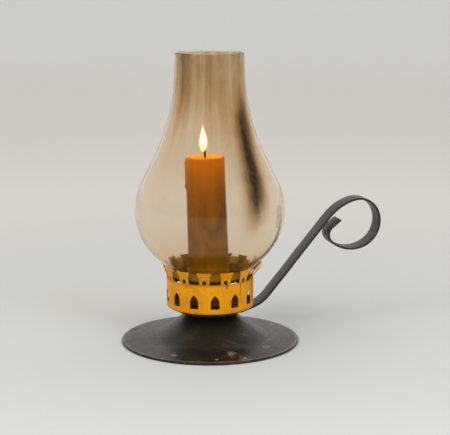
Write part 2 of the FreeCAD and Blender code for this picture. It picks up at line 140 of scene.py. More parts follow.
def shell_section(path: np.ndarray, thickness: float, lip: float = 0.0) -> np.ndarray:
    """A closed loop: the path, and back along the path moved left by the thickness.

    Each end is closed by half an ellipse about the wall's middle, lip long, whose points are
    middle + cos t * thickness / 2 * normal + sin t * lip * along.

    Args:
        path: Points of one face of the wall.
        thickness: Wall thickness, negative for a wall on the right of the path.
        lip: How far each rounded end stands out past the path's end.

    Returns:
        Array of shape (n, 2), with no repeated point.
    """
    normal = left_of(path)
    other = path + normal * thickness
    if lip <= 0:
        return np.concatenate([path, other[::-1]])
    turn = np.linspace(0, math.pi, LIP_POINTS + 2)[1:-1, None]
    caps = []
    for at, sign in ((-1, 1.0), (0, -1.0)):
        middle = (path[at] + other[at]) / 2
        along = sign * np.array([normal[at, 1], -normal[at, 0]])
        side = -sign * np.cos(turn) * normal[at] * thickness / 2
        caps.append(middle + side + np.sin(turn) * along * lip)
    return np.concatenate([path, caps[0], other[::-1], caps[1]])


def turned_grid(section: np.ndarray, segments: int) -> np.ndarray:
    """A surface of two parameters: row i and angle a give (r_i cos a, r_i sin a, z_i).

    Args:
        section: Radius and height of each row.
        segments: Points round the axis.

    Returns:
        Array of shape (rows, segments, 3).
    """
    angle = np.linspace(0, 2 * math.pi, segments, endpoint=False)[None, :]
    radius, height = section[:, :1], section[:, 1:]
    return np.stack(
        [radius * np.cos(angle), radius * np.sin(angle), height + 0 * angle], axis=-1
    )


def grid_faces(rows: int, columns: int, wrap_rows: bool) -> np.ndarray:
    """Quads of a grid whose columns close on themselves.

    Args:
        rows: Number of rows.
        columns: Number of columns.
        wrap_rows: Whether the last row joins the first.

    Returns:
        Array of shape (n, 4) of vertex numbers.
    """
    i = np.arange(rows if wrap_rows else rows - 1)[:, None] * columns
    above = (i + columns) % (rows * columns)
    j = np.arange(columns)[None, :]
    k = (j + 1) % columns
    return np.stack([i + j, i + k, above + k, above + j], axis=-1).reshape(-1, 4)


def grid_object(
    name: str, grid: np.ndarray, wrap_rows: bool = False, sharp: float = 40.0
) -> bpy.types.Object:
    """Makes a closed, smooth-shaded object of a grid of points, with its faces outwards.

    The volume inside, summed over the quads as a . (b x c + c x d) / 6, is made positive. Rows
    that shrink to one point are welded into a pole.

    Args:
        name: Name of the object and its mesh.
        grid: Points, of shape (rows, columns, 3); the columns close on themselves.
        wrap_rows: Whether the rows close on themselves too.
        sharp: Angle in degrees past which an edge stays sharp.

    Returns:
        The new object, linked to the scene at the origin.
    """
    rows, columns = grid.shape[:2]
    points = grid.reshape(-1, 3)
    faces = grid_faces(rows, columns, wrap_rows)
    a, b, c, d = (points[faces[:, k]] for k in range(4))
    volume = np.einsum("ij,ij->i", a, np.cross(b, c) + np.cross(c, d)).sum()
    if volume < 0:
        faces = faces[:, ::-1]
    if not wrap_rows:
        welded = np.arange(rows * columns)
        for row in (0, rows - 1):
            if np.ptp(grid[row], axis=0).max() < 1e-9:
                welded[row * columns : (row + 1) * columns] = row * columns
        faces = welded[faces]
    mesh = bpy.data.meshes.new(name)
    mesh.from_pydata(points.tolist(), [], tidy_faces(faces))
    mesh.validate()
    mesh.shade_smooth()
    mesh.set_sharp_from_angle(angle=math.radians(sharp))
    return linked(name, mesh)


def tidy_faces(faces: np.ndarray) -> list[list[int]]:
    """Quads as lists, with those that touch a pole made triangles by dropping the repeat."""
    repeat = faces == np.roll(faces, -1, axis=1)
    quads = faces[~repeat.any(axis=1)]
    pinched = repeat.any(axis=1)
    thirds = faces[pinched][~repeat[pinched]].reshape(-1, 3)
    return quads.tolist() + thirds.tolist()


def soft_noise(*waves: tuple[np.ndarray, float], seed: int, octaves: int = 4) -> np.ndarray:
    """Smooth noise between about -1 and 1, as a sum of sines of mixed coordinates.

    Octave k adds sin(2^k * (sum of coordinate * frequency * random weight) + phase) / 1.6^k.

    Args:
        *waves: Pairs of a coordinate array and its lowest frequency.
        seed: Seed of the weights and phases.
        octaves: Number of octaves, with three sines in each.

    Returns:
        Array of the coordinates' common shape.
    """
    random = np.random.default_rng(seed)
    total = sum(np.zeros_like(coordinate) for coordinate, _ in waves)
    scale = 0.0
    for octave in range(octaves):
        for _ in range(3):
            phase = random.uniform(0, 2 * math.pi)
            inside = sum(c * f * random.uniform(-1, 1) for c, f in waves)
            total = total + np.sin(inside * 2**octave + phase) / 1.6**octave
            scale += 1 / 1.6**octave
    return total / scale * 1.8


def ring(angle: np.ndarray, frequency: float) -> tuple[tuple[np.ndarray, float], ...]:
    """Returns the waves that make a noise close on itself round the axis."""
    return (np.cos(angle), frequency), (np.sin(angle), frequency)


def polar(grid: np.ndarray) -> tuple[np.ndarray, np.ndarray]:
    """Returns the direction in radians and the distance of each point from the axis."""
    return np.arctan2(grid[..., 1], grid[..., 0]), np.hypot(grid[..., 0], grid[..., 1])


def arc_distance(angle: np.ndarray, side: float | np.ndarray, reach: np.ndarray) -> np.ndarray:
    """Returns the distance round the axis from a side: |angle - side|, wrapped, times reach."""
    return np.abs(np.angle(np.exp(1j * (angle - side)))) * reach


def smooth_step(value: np.ndarray, low: float, high: float) -> np.ndarray:
    """Rises from 0 at low to 1 at high along t * t * (3 - 2 t)."""
    t = np.clip((value - low) / (high - low), 0, 1)
    return t * t * (3 - 2 * t)


def linked(name: str, data: bpy.types.ID) -> bpy.types.Object:
    """Returns a new object that holds the data, linked to the scene at the origin."""
    thing = bpy.data.objects.new(name, data)
    bpy.context.scene.collection.objects.link(thing)
    return thing


def set_attribute(thing: bpy.types.Object, name: str, values: np.ndarray) -> None:
    """Stores one number for each vertex on an object's mesh.

    Args:
        thing: The mesh object.
        name: Attribute name that materials read.
        values: One value per vertex, in the mesh's order.
    """
    layer = thing.data.attributes.new(name, "FLOAT", "POINT")
    layer.data.foreach_set("value", values.astype(np.float32).ravel())


# ---- Node graphs -----------------------------------------------------------------------------
class Graph:
    """A material's nodes, with one short call for each kind that the finishes use."""

    def __init__(self, name: str) -> None:
        """Starts an empty material.

        Args:
            name: Name of the material.
        """
        self.material = bpy.data.materials.new(name)
        self.material.use_nodes = True
        self.tree = self.material.node_tree
        self.tree.nodes.clear()
        self.place = self.add("ShaderNodeTexCoord").outputs["Object"]

    def add(self, kind: str, inputs: dict | None = None, **settings: object) -> bpy.types.Node:
        """Adds a node.

        Args:
            kind: Class name of the node.
            inputs: Sockets to link, or values to set, by input name or number.
            **settings: Properties of the node itself.

        Returns:
            The new node.
        """
        node = self.tree.nodes.new(kind)
        for key, value in settings.items():
            setattr(node, key, value)
        for key, value in (inputs or {}).items():
            if isinstance(value, Socket):
                self.tree.links.new(value, node.inputs[key])
            else:
                node.inputs[key].default_value = value
        return node

    def calc(
        self, operation: str, a: Socket | float, b: Socket | float = 0.0, clamp: bool = False
    ) -> Socket:
        """Returns a Math node's result for the two values."""
        node = self.add("ShaderNodeMath", {0: a, 1: b}, operation=operation, use_clamp=clamp)
        return node.outputs[0]

    def times(self, a: Socket | float, b: Socket | float, clamp: bool = False) -> Socket:
        """Returns a * b, held between 0 and 1 if clamped."""
        return self.calc("MULTIPLY", a, b, clamp)

    def plus(self, a: Socket | float, b: Socket | float, clamp: bool = False) -> Socket:
        """Returns a + b, held between 0 and 1 if clamped."""
        return self.calc("ADD", a, b, clamp)

    def minus(self, a: Socket | float, b: Socket | float) -> Socket:
        """Returns a - b."""
        return self.calc("SUBTRACT", a, b)

    def parts(self, vector: Socket) -> tuple[Socket, Socket, Socket]:
        """Returns a vector's three components."""
        node = self.add("ShaderNodeSeparateXYZ", {0: vector})
        return node.outputs[0], node.outputs[1], node.outputs[2]

    def vector(self, x: Socket | float, y: Socket | float, z: Socket | float) -> Socket:
        """Returns three numbers as a vector."""
        return self.add("ShaderNodeCombineXYZ", {0: x, 1: y, 2: z}).outputs[0]

    def stretched(self, x: float, y: float, z: float, turn: float = 0.0) -> Socket:
        """Returns the object's coordinates, turned in degrees about Z and then scaled."""
        node = self.add("ShaderNodeMapping", {
            "Vector": self.place,
            "Rotation": (0, 0, math.radians(turn)),
            "Scale": (x, y, z),
        })
        return node.outputs[0]

    def polar(self) -> tuple[Socket, Socket, Socket, Socket]:
        """Returns the distance from the axis, the outward direction's x and y, and the height."""
        x, y, z = self.parts(self.place)
        square = self.plus(self.times(x, x), self.times(y, y))
        radius = self.calc("MAXIMUM", self.calc("SQRT", square), 1e-5)
        return radius, self.calc("DIVIDE", x, radius), self.calc("DIVIDE", y, radius), z

    def outward(self) -> Socket:
        """Returns how squarely the surface faces away from the axis, from -1 to 1."""
        _, across, along, _ = self.polar()
        normal = self.add("ShaderNodeNewGeometry").outputs["True Normal"]
        x, y, _ = self.parts(normal)
        return self.plus(self.times(x, across), self.times(y, along))

    def noise(
        self, scale: float, detail: float, roughness: float, warp: float = 0.0,
        vector: Socket | None = None,
    ) -> Socket:
        """Returns a noise between 0 and 1.

        Args:
            scale: Features per metre.
            detail: Number of finer layers.
            roughness: Strength of the finer layers.
            warp: Distortion of the pattern.
            vector: Where to read it, the object's own coordinates if left out.

        Returns:
            The noise's value socket.
        """
        node = self.add("ShaderNodeTexNoise", {
            "Vector": vector or self.place, "Scale": scale, "Detail": detail,
            "Roughness": roughness, "Distortion": warp,
        })
        return node.outputs[0]

    def span(
        self, value: Socket, low: float, high: float, to_low: float = 0.0, to_high: float = 1.0
    ) -> Socket:
        """Returns the value carried smoothly from one span to another and held at its ends."""
        node = self.add(
            "ShaderNodeMapRange",
            {"Value": value, "From Min": low, "From Max": high, "To Min": to_low, "To Max": to_high},
            interpolation_type="SMOOTHSTEP",
        )
        return node.outputs["Result"]

    def hairlines(self, vector: Socket, scale: float, width: float, warp: float = 0.0) -> Socket:
        """Returns thin lines where a noise crosses its middle: smoothly from 1 there to 0 at width."""
        level = self.noise(scale, 1.0, 0.4, warp, vector)
        away = self.calc("ABSOLUTE", self.minus(level, 0.5))
        return self.span(away, 0.0, width, 1.0, 0.0)

    def blend(self, share: Socket | float, a: Socket | Colour, b: Socket | Colour) -> Socket:
        """Returns colour a where share is 0 and colour b where it is 1."""
        values = [c if isinstance(c, Socket) else (*c, 1.0) for c in (a, b)]
        node = self.add("ShaderNodeMix", {0: share, 6: values[0], 7: values[1]}, data_type="RGBA")
        return node.outputs[2]

    def ramp(self, value: Socket, stops: list[tuple[float, Colour]]) -> Socket:
        """Returns a colour ramp's colour.

        Args:
            value: Place on the ramp.
            stops: Positions from 0 to 1, with a colour at each.

        Returns:
            The colour socket.
        """
        node = self.add("ShaderNodeValToRGB", {0: value})
        elements = node.color_ramp.elements
        while len(elements) < len(stops):
            elements.new(0.5)
        for element, (position, colour) in zip(elements, stops):
            element.position = position
            element.color = (*colour, 1.0)
        return node.outputs[0]

    def bump(self, height: Socket, distance: float, strength: float = 1.0) -> Socket:
        """Returns a normal raised by a height of 0 to 1 times distance."""
        node = self.add("ShaderNodeBump", {"Height": height, "Distance": distance, "Strength": strength})
        return node.outputs[0]

    def surface(self, inputs: dict) -> Socket:
        """Returns a Principled shader with these inputs."""
        return self.add("ShaderNodeBsdfPrincipled", inputs).outputs[0]

    def mixed(self, share: Socket | float, first: Socket, second: Socket) -> Socket:
        """Returns the first shader where share is 0 and the second where it is 1."""
        return self.add("ShaderNodeMixShader", {0: share, 1: first, 2: second}).outputs[0]

    def done(self, shader: Socket) -> bpy.types.Material:
        """Shows the shader and returns the material."""
        self.add("ShaderNodeOutputMaterial", {"Surface": shader})
        return self.material


# ---- Finishes --------------------------------------------------------------------------------
@dataclass(frozen=True)
class Finish:
    """A named material, whose kind says how its shader is drawn."""

    name: str

    def draw(self, g: Graph) -> Socket:
        """Adds the finish's nodes.

        Args:
            g: The material's graph.

        Returns:
            The shader.
        """
        raise NotImplementedError

    def build(self) -> bpy.types.Material:
        """Returns the finished material."""
        g = Graph(self.name)
        return g.done(self.draw(g))


class Turn(Enum):
    """Which way a metal's brush marks run."""

    ROUND = "round the axis"
    LENGTHWISE = "along the strap"


@dataclass(frozen=True)
class BlackPaint(Finish):
    """Old black enamel on steel: wiped, scratched, and rusting in a few places."""

    name: str = "black_paint"
    paint: Colour = (0.010, 0.0085, 0.0065)
    film: Colour = (0.048, 0.034, 0.018)
    metal: Colour = (0.300, 0.240, 0.160)
    rust: Colour = (0.200, 0.072, 0.022)
    old_rust: Colour = (0.045, 0.020, 0.010)
    marks: Turn = Turn.ROUND
    gloss: float = 0.36
    rust_from: float = 0.655
    worn: tuple[tuple[float, float, float], ...] = ()
    # Radius of a thin ring that is partly rubbed paint and partly a painted highlight along the hem's top.
    rim: float = 0.0

    def draw(self, g: Graph) -> Socket:
        """Returns the painted finish's shader."""
        radius, across, along, height = g.polar()
        if self.marks is Turn.ROUND:
            brush = g.vector(g.times(radius, 900.0), g.times(across, 2.2), g.times(along, 2.2))
        else:
            brush = g.stretched(30.0, 1100.0, 30.0)
        rings = g.noise(1.0, 4.0, 0.7, vector=brush)
        haze = g.noise(38.0, 5.0, 0.62, 0.6)
        cloud = g.noise(11.0, 3.0, 0.5, 1.0)
        dust = g.times(g.span(haze, 0.42, 0.78), g.span(cloud, 0.35, 0.7))
        fine = g.hairlines(g.stretched(1.0, 0.16, 0.3, 28.0), 150.0, 0.010, 0.3)
        long = g.hairlines(g.stretched(0.12, 1.0, 0.25, -22.0), 105.0, 0.007, 0.5)
        where = g.span(g.noise(26.0, 2.0, 0.5), 0.50, 0.66)
        scratch = g.times(g.calc("MAXIMUM", fine, long), where)
        patch = g.noise(78.0, 6.0, 0.68, 0.9)
        spots = g.noise(330.0, 3.0, 0.6)
        low = g.span(height, 0.0, 0.012, 0.075, 0.0)
        rusted = g.span(g.plus(patch, low), self.rust_from, self.rust_from + 0.05)
        rusted = g.times(rusted, g.span(spots, 0.35, 0.55))
        chips = g.span(g.noise(620.0, 2.0, 0.5), 0.745, 0.765)
        colour = g.blend(dust, self.paint, self.film)
        colour = g.blend(g.span(rings, 0.3, 0.75, 0.0, 0.28), colour, self.film)
        colour = g.blend(g.times(scratch, 0.55), colour, self.metal)
        colour = g.blend(chips, colour, self.metal)
        if self.worn:
            flakes = g.span(g.noise(300.0, 5.0, 0.7), 0.46, 0.56)
            bare = g.times(self.worn_places(g), flakes)
            colour = g.blend(g.times(bare, 0.75), colour, self.metal)
        # Rubbed paint and painted highlight: a thin ring along the hem's top turns towards bare metal,
        # standing for wear and for the hem's lit edge.
        if self.rim:
            away = g.calc("ABSOLUTE", g.minus(radius, self.rim))
            rubbed_and_highlight = g.times(g.span(away, 0.2 * MM, 1.0 * MM, 0.55, 0.0), g.span(haze, 0.3, 0.6))
            colour = g.blend(rubbed_and_highlight, colour, self.metal)
        colour = g.blend(rusted, colour, g.blend(spots, self.rust, self.old_rust))
        rough = g.span(rings, 0.25, 0.8, self.gloss - 0.06, self.gloss + 0.09)
        rough = g.plus(rough, g.times(dust, 0.16))
        rough = g.plus(rough, g.times(rusted, 0.35), True)
        rise = g.minus(g.times(g.noise(240.0, 3.0, 0.6), 0.45), g.times(scratch, 0.35))
        rise = g.plus(rise, g.times(rusted, g.times(spots, 1.2)))
        return g.surface({
            "Base Color": colour, "Roughness": rough, "Metallic": 0.0, "Specular IOR Level": 0.46,
            "Normal": g.bump(rise, 0.12 * MM, 0.6),
        })

    def worn_places(self, g: Graph) -> Socket:
        """Finds the worn places, each given as azimuth, distance from the axis, and reach.

        Args:
            g: The material's graph.

        Returns:
            1 in the middle of each place, fading to 0 at its reach.
        """
        flat = g.stretched(1.0, 1.0, 0.0)
        total = None
        for azimuth, radius, reach in self.worn:
            turn = math.radians(azimuth)
            node = g.add("ShaderNodeVectorMath", {
                0: flat, 1: (radius * math.cos(turn), radius * math.sin(turn), 0.0),
            }, operation="DISTANCE")
            near = g.span(node.outputs["Value"], 0.3 * reach, reach, 1.0, 0.0)
            total = near if total is None else g.calc("MAXIMUM", total, near)
        return total


@dataclass(frozen=True)
class GiltBrass(Finish):
    """Lacquered sheet: golden and mottled outside, with painted shade that makes it brown inside, a painted
    highlight that makes it bright on its cut edges, and painted shade along the shoulder.
    """

    name: str = "gilt_band"
    gold: Colour = (0.900, 0.375, 0.001)
    deep: Colour = (0.740, 0.260, 0.001)
    # edge: brighter gold for the grain's specks and for the painted highlight on the cut edges
    edge: Colour = (0.980, 0.560, 0.060)
    # inside: a darker copy of the gold, painted shade for the inner faces
    inside: Colour = (0.300, 0.105, 0.004)
    # grime_and_crease_shade: for the runs, specks, seam and drip, and for the painted shade along the
    # shoulder
    grime_and_crease_shade: Colour = (0.130, 0.046, 0.004)
    shoulder: float = 61.6 * MM
    seam: float = 298.7
    seam_depth: float = 11.5 * MM
    drip: float = 278.3

    def draw(self, g: Graph) -> Socket:
        """Returns the gilt finish's shader."""
        facing = g.outward()
        _, _, _, height = g.polar()
        cloud = g.noise(55.0, 4.0, 0.6, 0.8)
        grain = g.noise(900.0, 3.0, 0.65)
        speck = g.span(g.noise(520.0, 2.0, 0.5), 0.66, 0.72)
        runs = g.noise(1.0, 3.0, 0.6, vector=g.stretched(160.0, 160.0, 14.0))
        colour = g.blend(g.span(cloud, 0.3, 0.72), self.gold, self.deep)
        colour = g.blend(g.span(grain, 0.3, 0.75, 0.0, 0.16), colour, self.edge)
        colour = g.blend(g.span(runs, 0.60, 0.78, 0.0, 0.55), colour, self.grime_and_crease_shade)
        # Painted shade: a dark band along the shoulder, where the tabs bend out of the band.
        corner = g.calc("ABSOLUTE", g.minus(height, self.shoulder))
        colour = g.blend(g.span(corner, 0.0, 2.6 * MM, 0.35, 0.0), colour, self.grime_and_crease_shade)
        colour = g.blend(g.times(speck, 0.5), colour, self.grime_and_crease_shade)
        # Painted highlight: faces that look neither out nor in, the cut edges and the flat tongues, take the
        # bright edge colour.
        cut = g.times(g.span(facing, -0.6, -0.2), g.span(facing, 0.3, 0.6, 1.0, 0.0))
        colour = g.blend(g.times(cut, 0.8), colour, self.edge)
        seam = self.line(g, self.seam, 0.55 * MM, self.seam_depth)
        mark = g.calc("MAXIMUM", seam, self.line(g, self.drip, 0.9 * MM, 3.6 * MM))
        colour = g.blend(g.times(mark, g.span(cloud, 0.2, 0.5, 0.7, 1.0)), colour, self.grime_and_crease_shade)
        # Painted shade: faces turned towards the axis take the darker inside colour.
        inner_face_shade = g.span(facing, -0.5, -0.2, 1.0, 0.0)
        colour = g.blend(inner_face_shade, colour, self.inside)
        rough = g.plus(g.span(grain, 0.2, 0.8, 0.30, 0.46), g.span(runs, 0.5, 0.8, 0.0, 0.15))
        rise = g.plus(g.times(grain, 0.5), g.noise(130.0, 3.0, 0.5))
        return g.surface({
            "Base Color": colour, "Roughness": rough, "Metallic": 0.35, "Specular IOR Level": 0.2,
            "Normal": g.bump(rise, 0.10 * MM, 0.5),
        })

    def line(self, g: Graph, azimuth: float, width: float, depth: float) -> Socket:
        """Returns a dark upright mark that runs down from the shoulder on one side.

        Args:
            g: The material's graph.
            azimuth: Direction of the mark from the axis, in degrees.
            width: Half width of the mark.
            depth: Length of the mark.

        Returns:
            1 in the mark's middle and 0 outside it.
        """
        radius, across, along, height = g.polar()
        cosine, sine = math.cos(math.radians(azimuth)), math.sin(math.radians(azimuth))
        aside = g.minus(g.times(along, cosine), g.times(across, sine))
        ahead = g.plus(g.times(across, cosine), g.times(along, sine))
        away = g.calc("ABSOLUTE", g.times(aside, radius))
        bottom = self.shoulder - depth
        upright = g.times(g.span(height, bottom - 1 * MM, bottom + 1 * MM),
                          g.span(height, self.shoulder, self.shoulder + 1 * MM, 1.0, 0.0))
        near = g.times(g.span(away, 0.4 * width, width, 1.0, 0.0), g.span(ahead, 0.0, 0.5))
        return g.times(near, upright)


@dataclass(frozen=True)
class BareSteel(Finish):
    """Zinc-grey steel for the screw, washers, rivets and wire, dulled and spotted."""

    name: str = "bright_steel"
    steel: Colour = (0.360, 0.340, 0.310)
    dull: Colour = (0.130, 0.115, 0.095)
    rust: Colour = (0.210, 0.085, 0.030)

    def draw(self, g: Graph) -> Socket:
        """Returns the bare metal finish's shader."""
        cloud = g.noise(260.0, 4.0, 0.6, 0.5)
        grain = g.noise(1500.0, 2.0, 0.6)
        spots = g.span(g.noise(420.0, 4.0, 0.6), 0.60, 0.66)
        colour = g.blend(g.span(cloud, 0.35, 0.7), self.steel, self.dull)
        colour = g.blend(spots, colour, self.rust)
        rough = g.plus(g.span(grain, 0.2, 0.8, 0.26, 0.42), g.times(spots, 0.4))
        return g.surface({
            "Base Color": colour, "Roughness": rough, "Metallic": 0.9,
            "Normal": g.bump(grain, 0.03 * MM, 0.6),
        })


@dataclass(frozen=True)
class SootyGlass(Finish):
    """Clear glass, tinted and clouded by the mesh's soot_and_shade value, and browned low down by painted
    shade from its low_shade value.
    """

    name: str = "sooted_glass"
    clear: Colour = (0.985, 0.980, 0.970)
    light: Colour = (0.970, 0.862, 0.715)
    brown: Colour = (0.720, 0.545, 0.335)
    umber: Colour = (0.400, 0.285, 0.170)
    dark: Colour = (0.130, 0.092, 0.058)
    black: Colour = (0.030, 0.020, 0.011)
    # low_shade and low_shade_film: tint and film of the painted shade low in the glass
    low_shade: Colour = (0.720, 0.480, 0.090)
    film: Colour = (0.240, 0.165, 0.095)
    low_shade_film: Colour = (0.520, 0.300, 0.030)
    wavy: float = 0.35 * MM
    bend: float = 1.30

    def draw(self, g: Graph) -> Socket:
        """Returns the glass finish's shader."""
        # soot_and_shade: soot on the inner face and painted shade on the foot
        soot_and_shade = g.add("ShaderNodeAttribute", attribute_name="soot_and_shade").outputs["Fac"]
        fine = g.noise(420.0, 4.0, 0.65, 0.4, g.stretched(1.0, 1.0, 0.25))
        veil = g.times(soot_and_shade, g.span(fine, 0.15, 0.85, 0.88, 1.10), True)
        tint = g.ramp(veil, [
            (0.0, self.clear), (0.18, self.light), (0.5, self.brown),
            (0.72, self.umber), (0.9, self.dark), (1.0, self.black),
        ])
        # Painted shade: below a level the inner face is tinted and clouded golden brown, for the shaded
        # gallery seen through it.
        low_shade = g.add("ShaderNodeAttribute", attribute_name="low_shade").outputs["Fac"]
        tint = g.blend(g.times(low_shade, g.span(fine, 0.2, 0.8, 0.85, 1.0)), tint, self.low_shade)
        ripple = g.noise(34.0, 2.0, 0.5, 0.4, g.stretched(1.0, 1.0, 0.5))
        normal = g.bump(ripple, self.wavy, 0.5)
        glass = g.add("ShaderNodeBsdfGlass", {
            "Color": tint, "Roughness": 0.0, "IOR": self.bend, "Normal": normal,
        }).outputs[0]
        grey = g.blend(g.span(veil, 0.3, 0.95), self.film, self.black)
        grey = g.blend(low_shade, grey, self.low_shade_film)
        film = g.add("ShaderNodeBsdfDiffuse", {"Color": grey}).outputs[0]
        glow = g.add("ShaderNodeBsdfTranslucent", {"Color": grey}).outputs[0]
        soft = g.mixed(0.5, film, glow)
        cover = g.times(g.span(veil, 0.10, 1.0), 0.55)
        cover = g.calc("MAXIMUM", cover, g.times(low_shade, 0.84))
        body = g.mixed(cover, glass, soft)
        through = g.add("ShaderNodeBsdfTransparent", {"Color": tint}).outputs[0]
        shadow = g.add("ShaderNodeLightPath").outputs["Is Shadow Ray"]
        return g.mixed(shadow, body, through)


@dataclass(frozen=True)
class CandleWax(Finish):
    """Old golden wax, mottled brown, with painted flame light near its top: reddened and glowing."""

    name: str = "candle_wax"
    wax: Colour = (0.300, 0.145, 0.002)
    brown: Colour = (0.170, 0.072, 0.001)
    pale: Colour = (0.420, 0.230, 0.012)
    # flame_glow: red tint of the painted flame light
    flame_glow: Colour = (0.360, 0.100, 0.000)
    top: float = 174.0 * MM

    def draw(self, g: Graph) -> Socket:
        """Returns the wax finish's shader."""
        _, _, _, height = g.polar()
        cloud = g.noise(42.0, 4.0, 0.6, 0.7)
        runs = g.noise(1.0, 4.0, 0.6, vector=g.stretched(190.0, 190.0, 12.0))
        fine = g.noise(640.0, 3.0, 0.6)
        colour = g.blend(g.span(cloud, 0.32, 0.7), self.wax, self.brown)
        colour = g.blend(g.span(runs, 0.56, 0.80, 0.0, 0.55), colour, self.pale)
        colour = g.blend(g.span(runs, 0.44, 0.22, 0.0, 0.5), colour, self.brown)
        # Painted light: near the top the wax is reddened and made to glow, for the flame's light shining
        # through it.
        colour = g.blend(g.span(height, self.top - 0.075, self.top, 0.0, 0.75), colour, self.flame_glow)
        near = g.span(height, self.top - 0.062, self.top + 0.004)
        glow = g.times(g.calc("POWER", near, 1.6), g.span(runs, 0.2, 0.8, 0.75, 1.1))
        rise = g.plus(g.times(runs, 0.8), g.times(fine, 0.3))
        return g.surface({
            "Base Color": colour, "Roughness": g.span(fine, 0.2, 0.8, 0.42, 0.58),
            "Specular IOR Level": 0.2, "Subsurface Weight": 0.06,
            "Subsurface Radius": (4 * MM, 1.6 * MM, 0.6 * MM),
            "Emission Color": g.blend(near, (0.60, 0.13, 0.0), (1.0, 0.27, 0.0)),
            "Emission Strength": g.times(glow, 0.30),
            "Normal": g.bump(rise, 0.35 * MM, 0.5),
        })


@dataclass(frozen=True)
class BurntWick(Finish):
    """Charred cotton, waxed brown low down and glowing at its tip."""

    name: str = "burnt_wick"
    char: Colour = (0.016, 0.010, 0.007)
    waxed: Colour = (0.180, 0.070, 0.020)
    ember: Colour = (1.000, 0.180, 0.020)
    pool: float = 171.5 * MM
    tip: float = 184.5 * MM

    def draw(self, g: Graph) -> Socket:
        """Returns the wick finish's shader."""
        _, _, _, height = g.polar()
        ply = g.noise(1400.0, 3.0, 0.6)
        colour = g.blend(g.span(height, self.pool, self.pool + 0.006), self.waxed, self.char)
        colour = g.blend(g.span(ply, 0.5, 0.8, 0.0, 0.3), colour, (0.09, 0.045, 0.020))
        flame_glow = g.times(g.span(height, self.tip - 0.0035, self.tip), g.span(ply, 0.3, 0.7))
        return g.surface({
            "Base Color": colour, "Roughness": g.span(ply, 0.2, 0.8, 0.75, 0.95),
            "Emission Color": g.blend(flame_glow, (0.5, 0.05, 0.0), self.ember),
            "Emission Strength": g.times(flame_glow, 2.0),
            "Normal": g.bump(ply, 0.25 * MM, 0.9),
        })


@dataclass(frozen=True)
class FlameLight(Finish):
    """One shell of the flame: thin at its root, bright and even above."""

    root: Colour
    body: Colour
    strength: float
    cover: float
    bottom: float
    top: float

    def draw(self, g: Graph) -> Socket:
        """Returns the glowing finish's shader."""
        _, _, _, height = g.polar()
        rise = g.span(height, self.bottom, self.bottom + 0.45 * (self.top - self.bottom))
        flow = g.noise(1.0, 2.0, 0.5, vector=g.stretched(150.0, 150.0, 30.0))
        light = g.add("ShaderNodeEmission", {
            "Color": g.blend(rise, self.root, self.body),
            "Strength": g.span(flow, 0.2, 0.8, 0.85 * self.strength, 1.1 * self.strength),
        }).outputs[0]
        shut = g.times(g.span(height, self.bottom, self.bottom + 0.007, 0.25, 1.0), self.cover)
        clear = g.add("ShaderNodeBsdfTransparent").outputs[0]
        return g.mixed(shut, clear, light)


@dataclass(frozen=True)
class FloorPaper(Finish):
    """Pale matt ground with painted shade: cooler and a little darker near the lamp than far away."""

    name: str = "pale_ground"
    near: Colour = (0.500, 0.515, 0.515)
    middle: Colour = (0.660, 0.635, 0.605)
    far: Colour = (0.700, 0.695, 0.675)

    def draw(self, g: Graph) -> Socket:
        """Returns the floor finish's shader."""
        radius, _, _, _ = g.polar()
        fibre = g.noise(900.0, 3.0, 0.6)
        # Painted shade and light: darker near the lamp and lighter far off, for how the light falls on the
        # floor.
        colour = g.blend(g.span(radius, 0.10, 0.95), self.near, self.middle)
        colour = g.blend(g.span(radius, 0.9, 5.0), colour, self.far)
        colour = g.blend(g.span(fibre, 0.2, 0.8, 0.0, 0.03), colour, (0.5, 0.45, 0.38))
        return g.surface({
            "Base Color": colour, "Roughness": g.span(fibre, 0.2, 0.8, 0.82, 0.92),
            "Specular IOR Level": 0.2,
        })


def paint_node(node: str, material: bpy.types.Material) -> None:
    """Gives a CAD node its finish.

    Args:
        node: Name of the node.
        material: The finish for all its slots.
    """
    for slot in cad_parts[node].material_slots:
        slot.material = material
    LOG.info("%s: %s", node, material.name)


def place_piece(piece: bpy.types.Object, material: bpy.types.Material, body: str) -> None:
    """Dresses a new piece and lets it ride on its body.

    Args:
        piece: The new object.
        material: Its finish.
        body: CAD body that carries it.
    """
    piece.data.materials.append(material)
    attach(piece, body)
    LOG.info("%s: %s, %d faces", piece.name, material.name, len(piece.data.polygons))


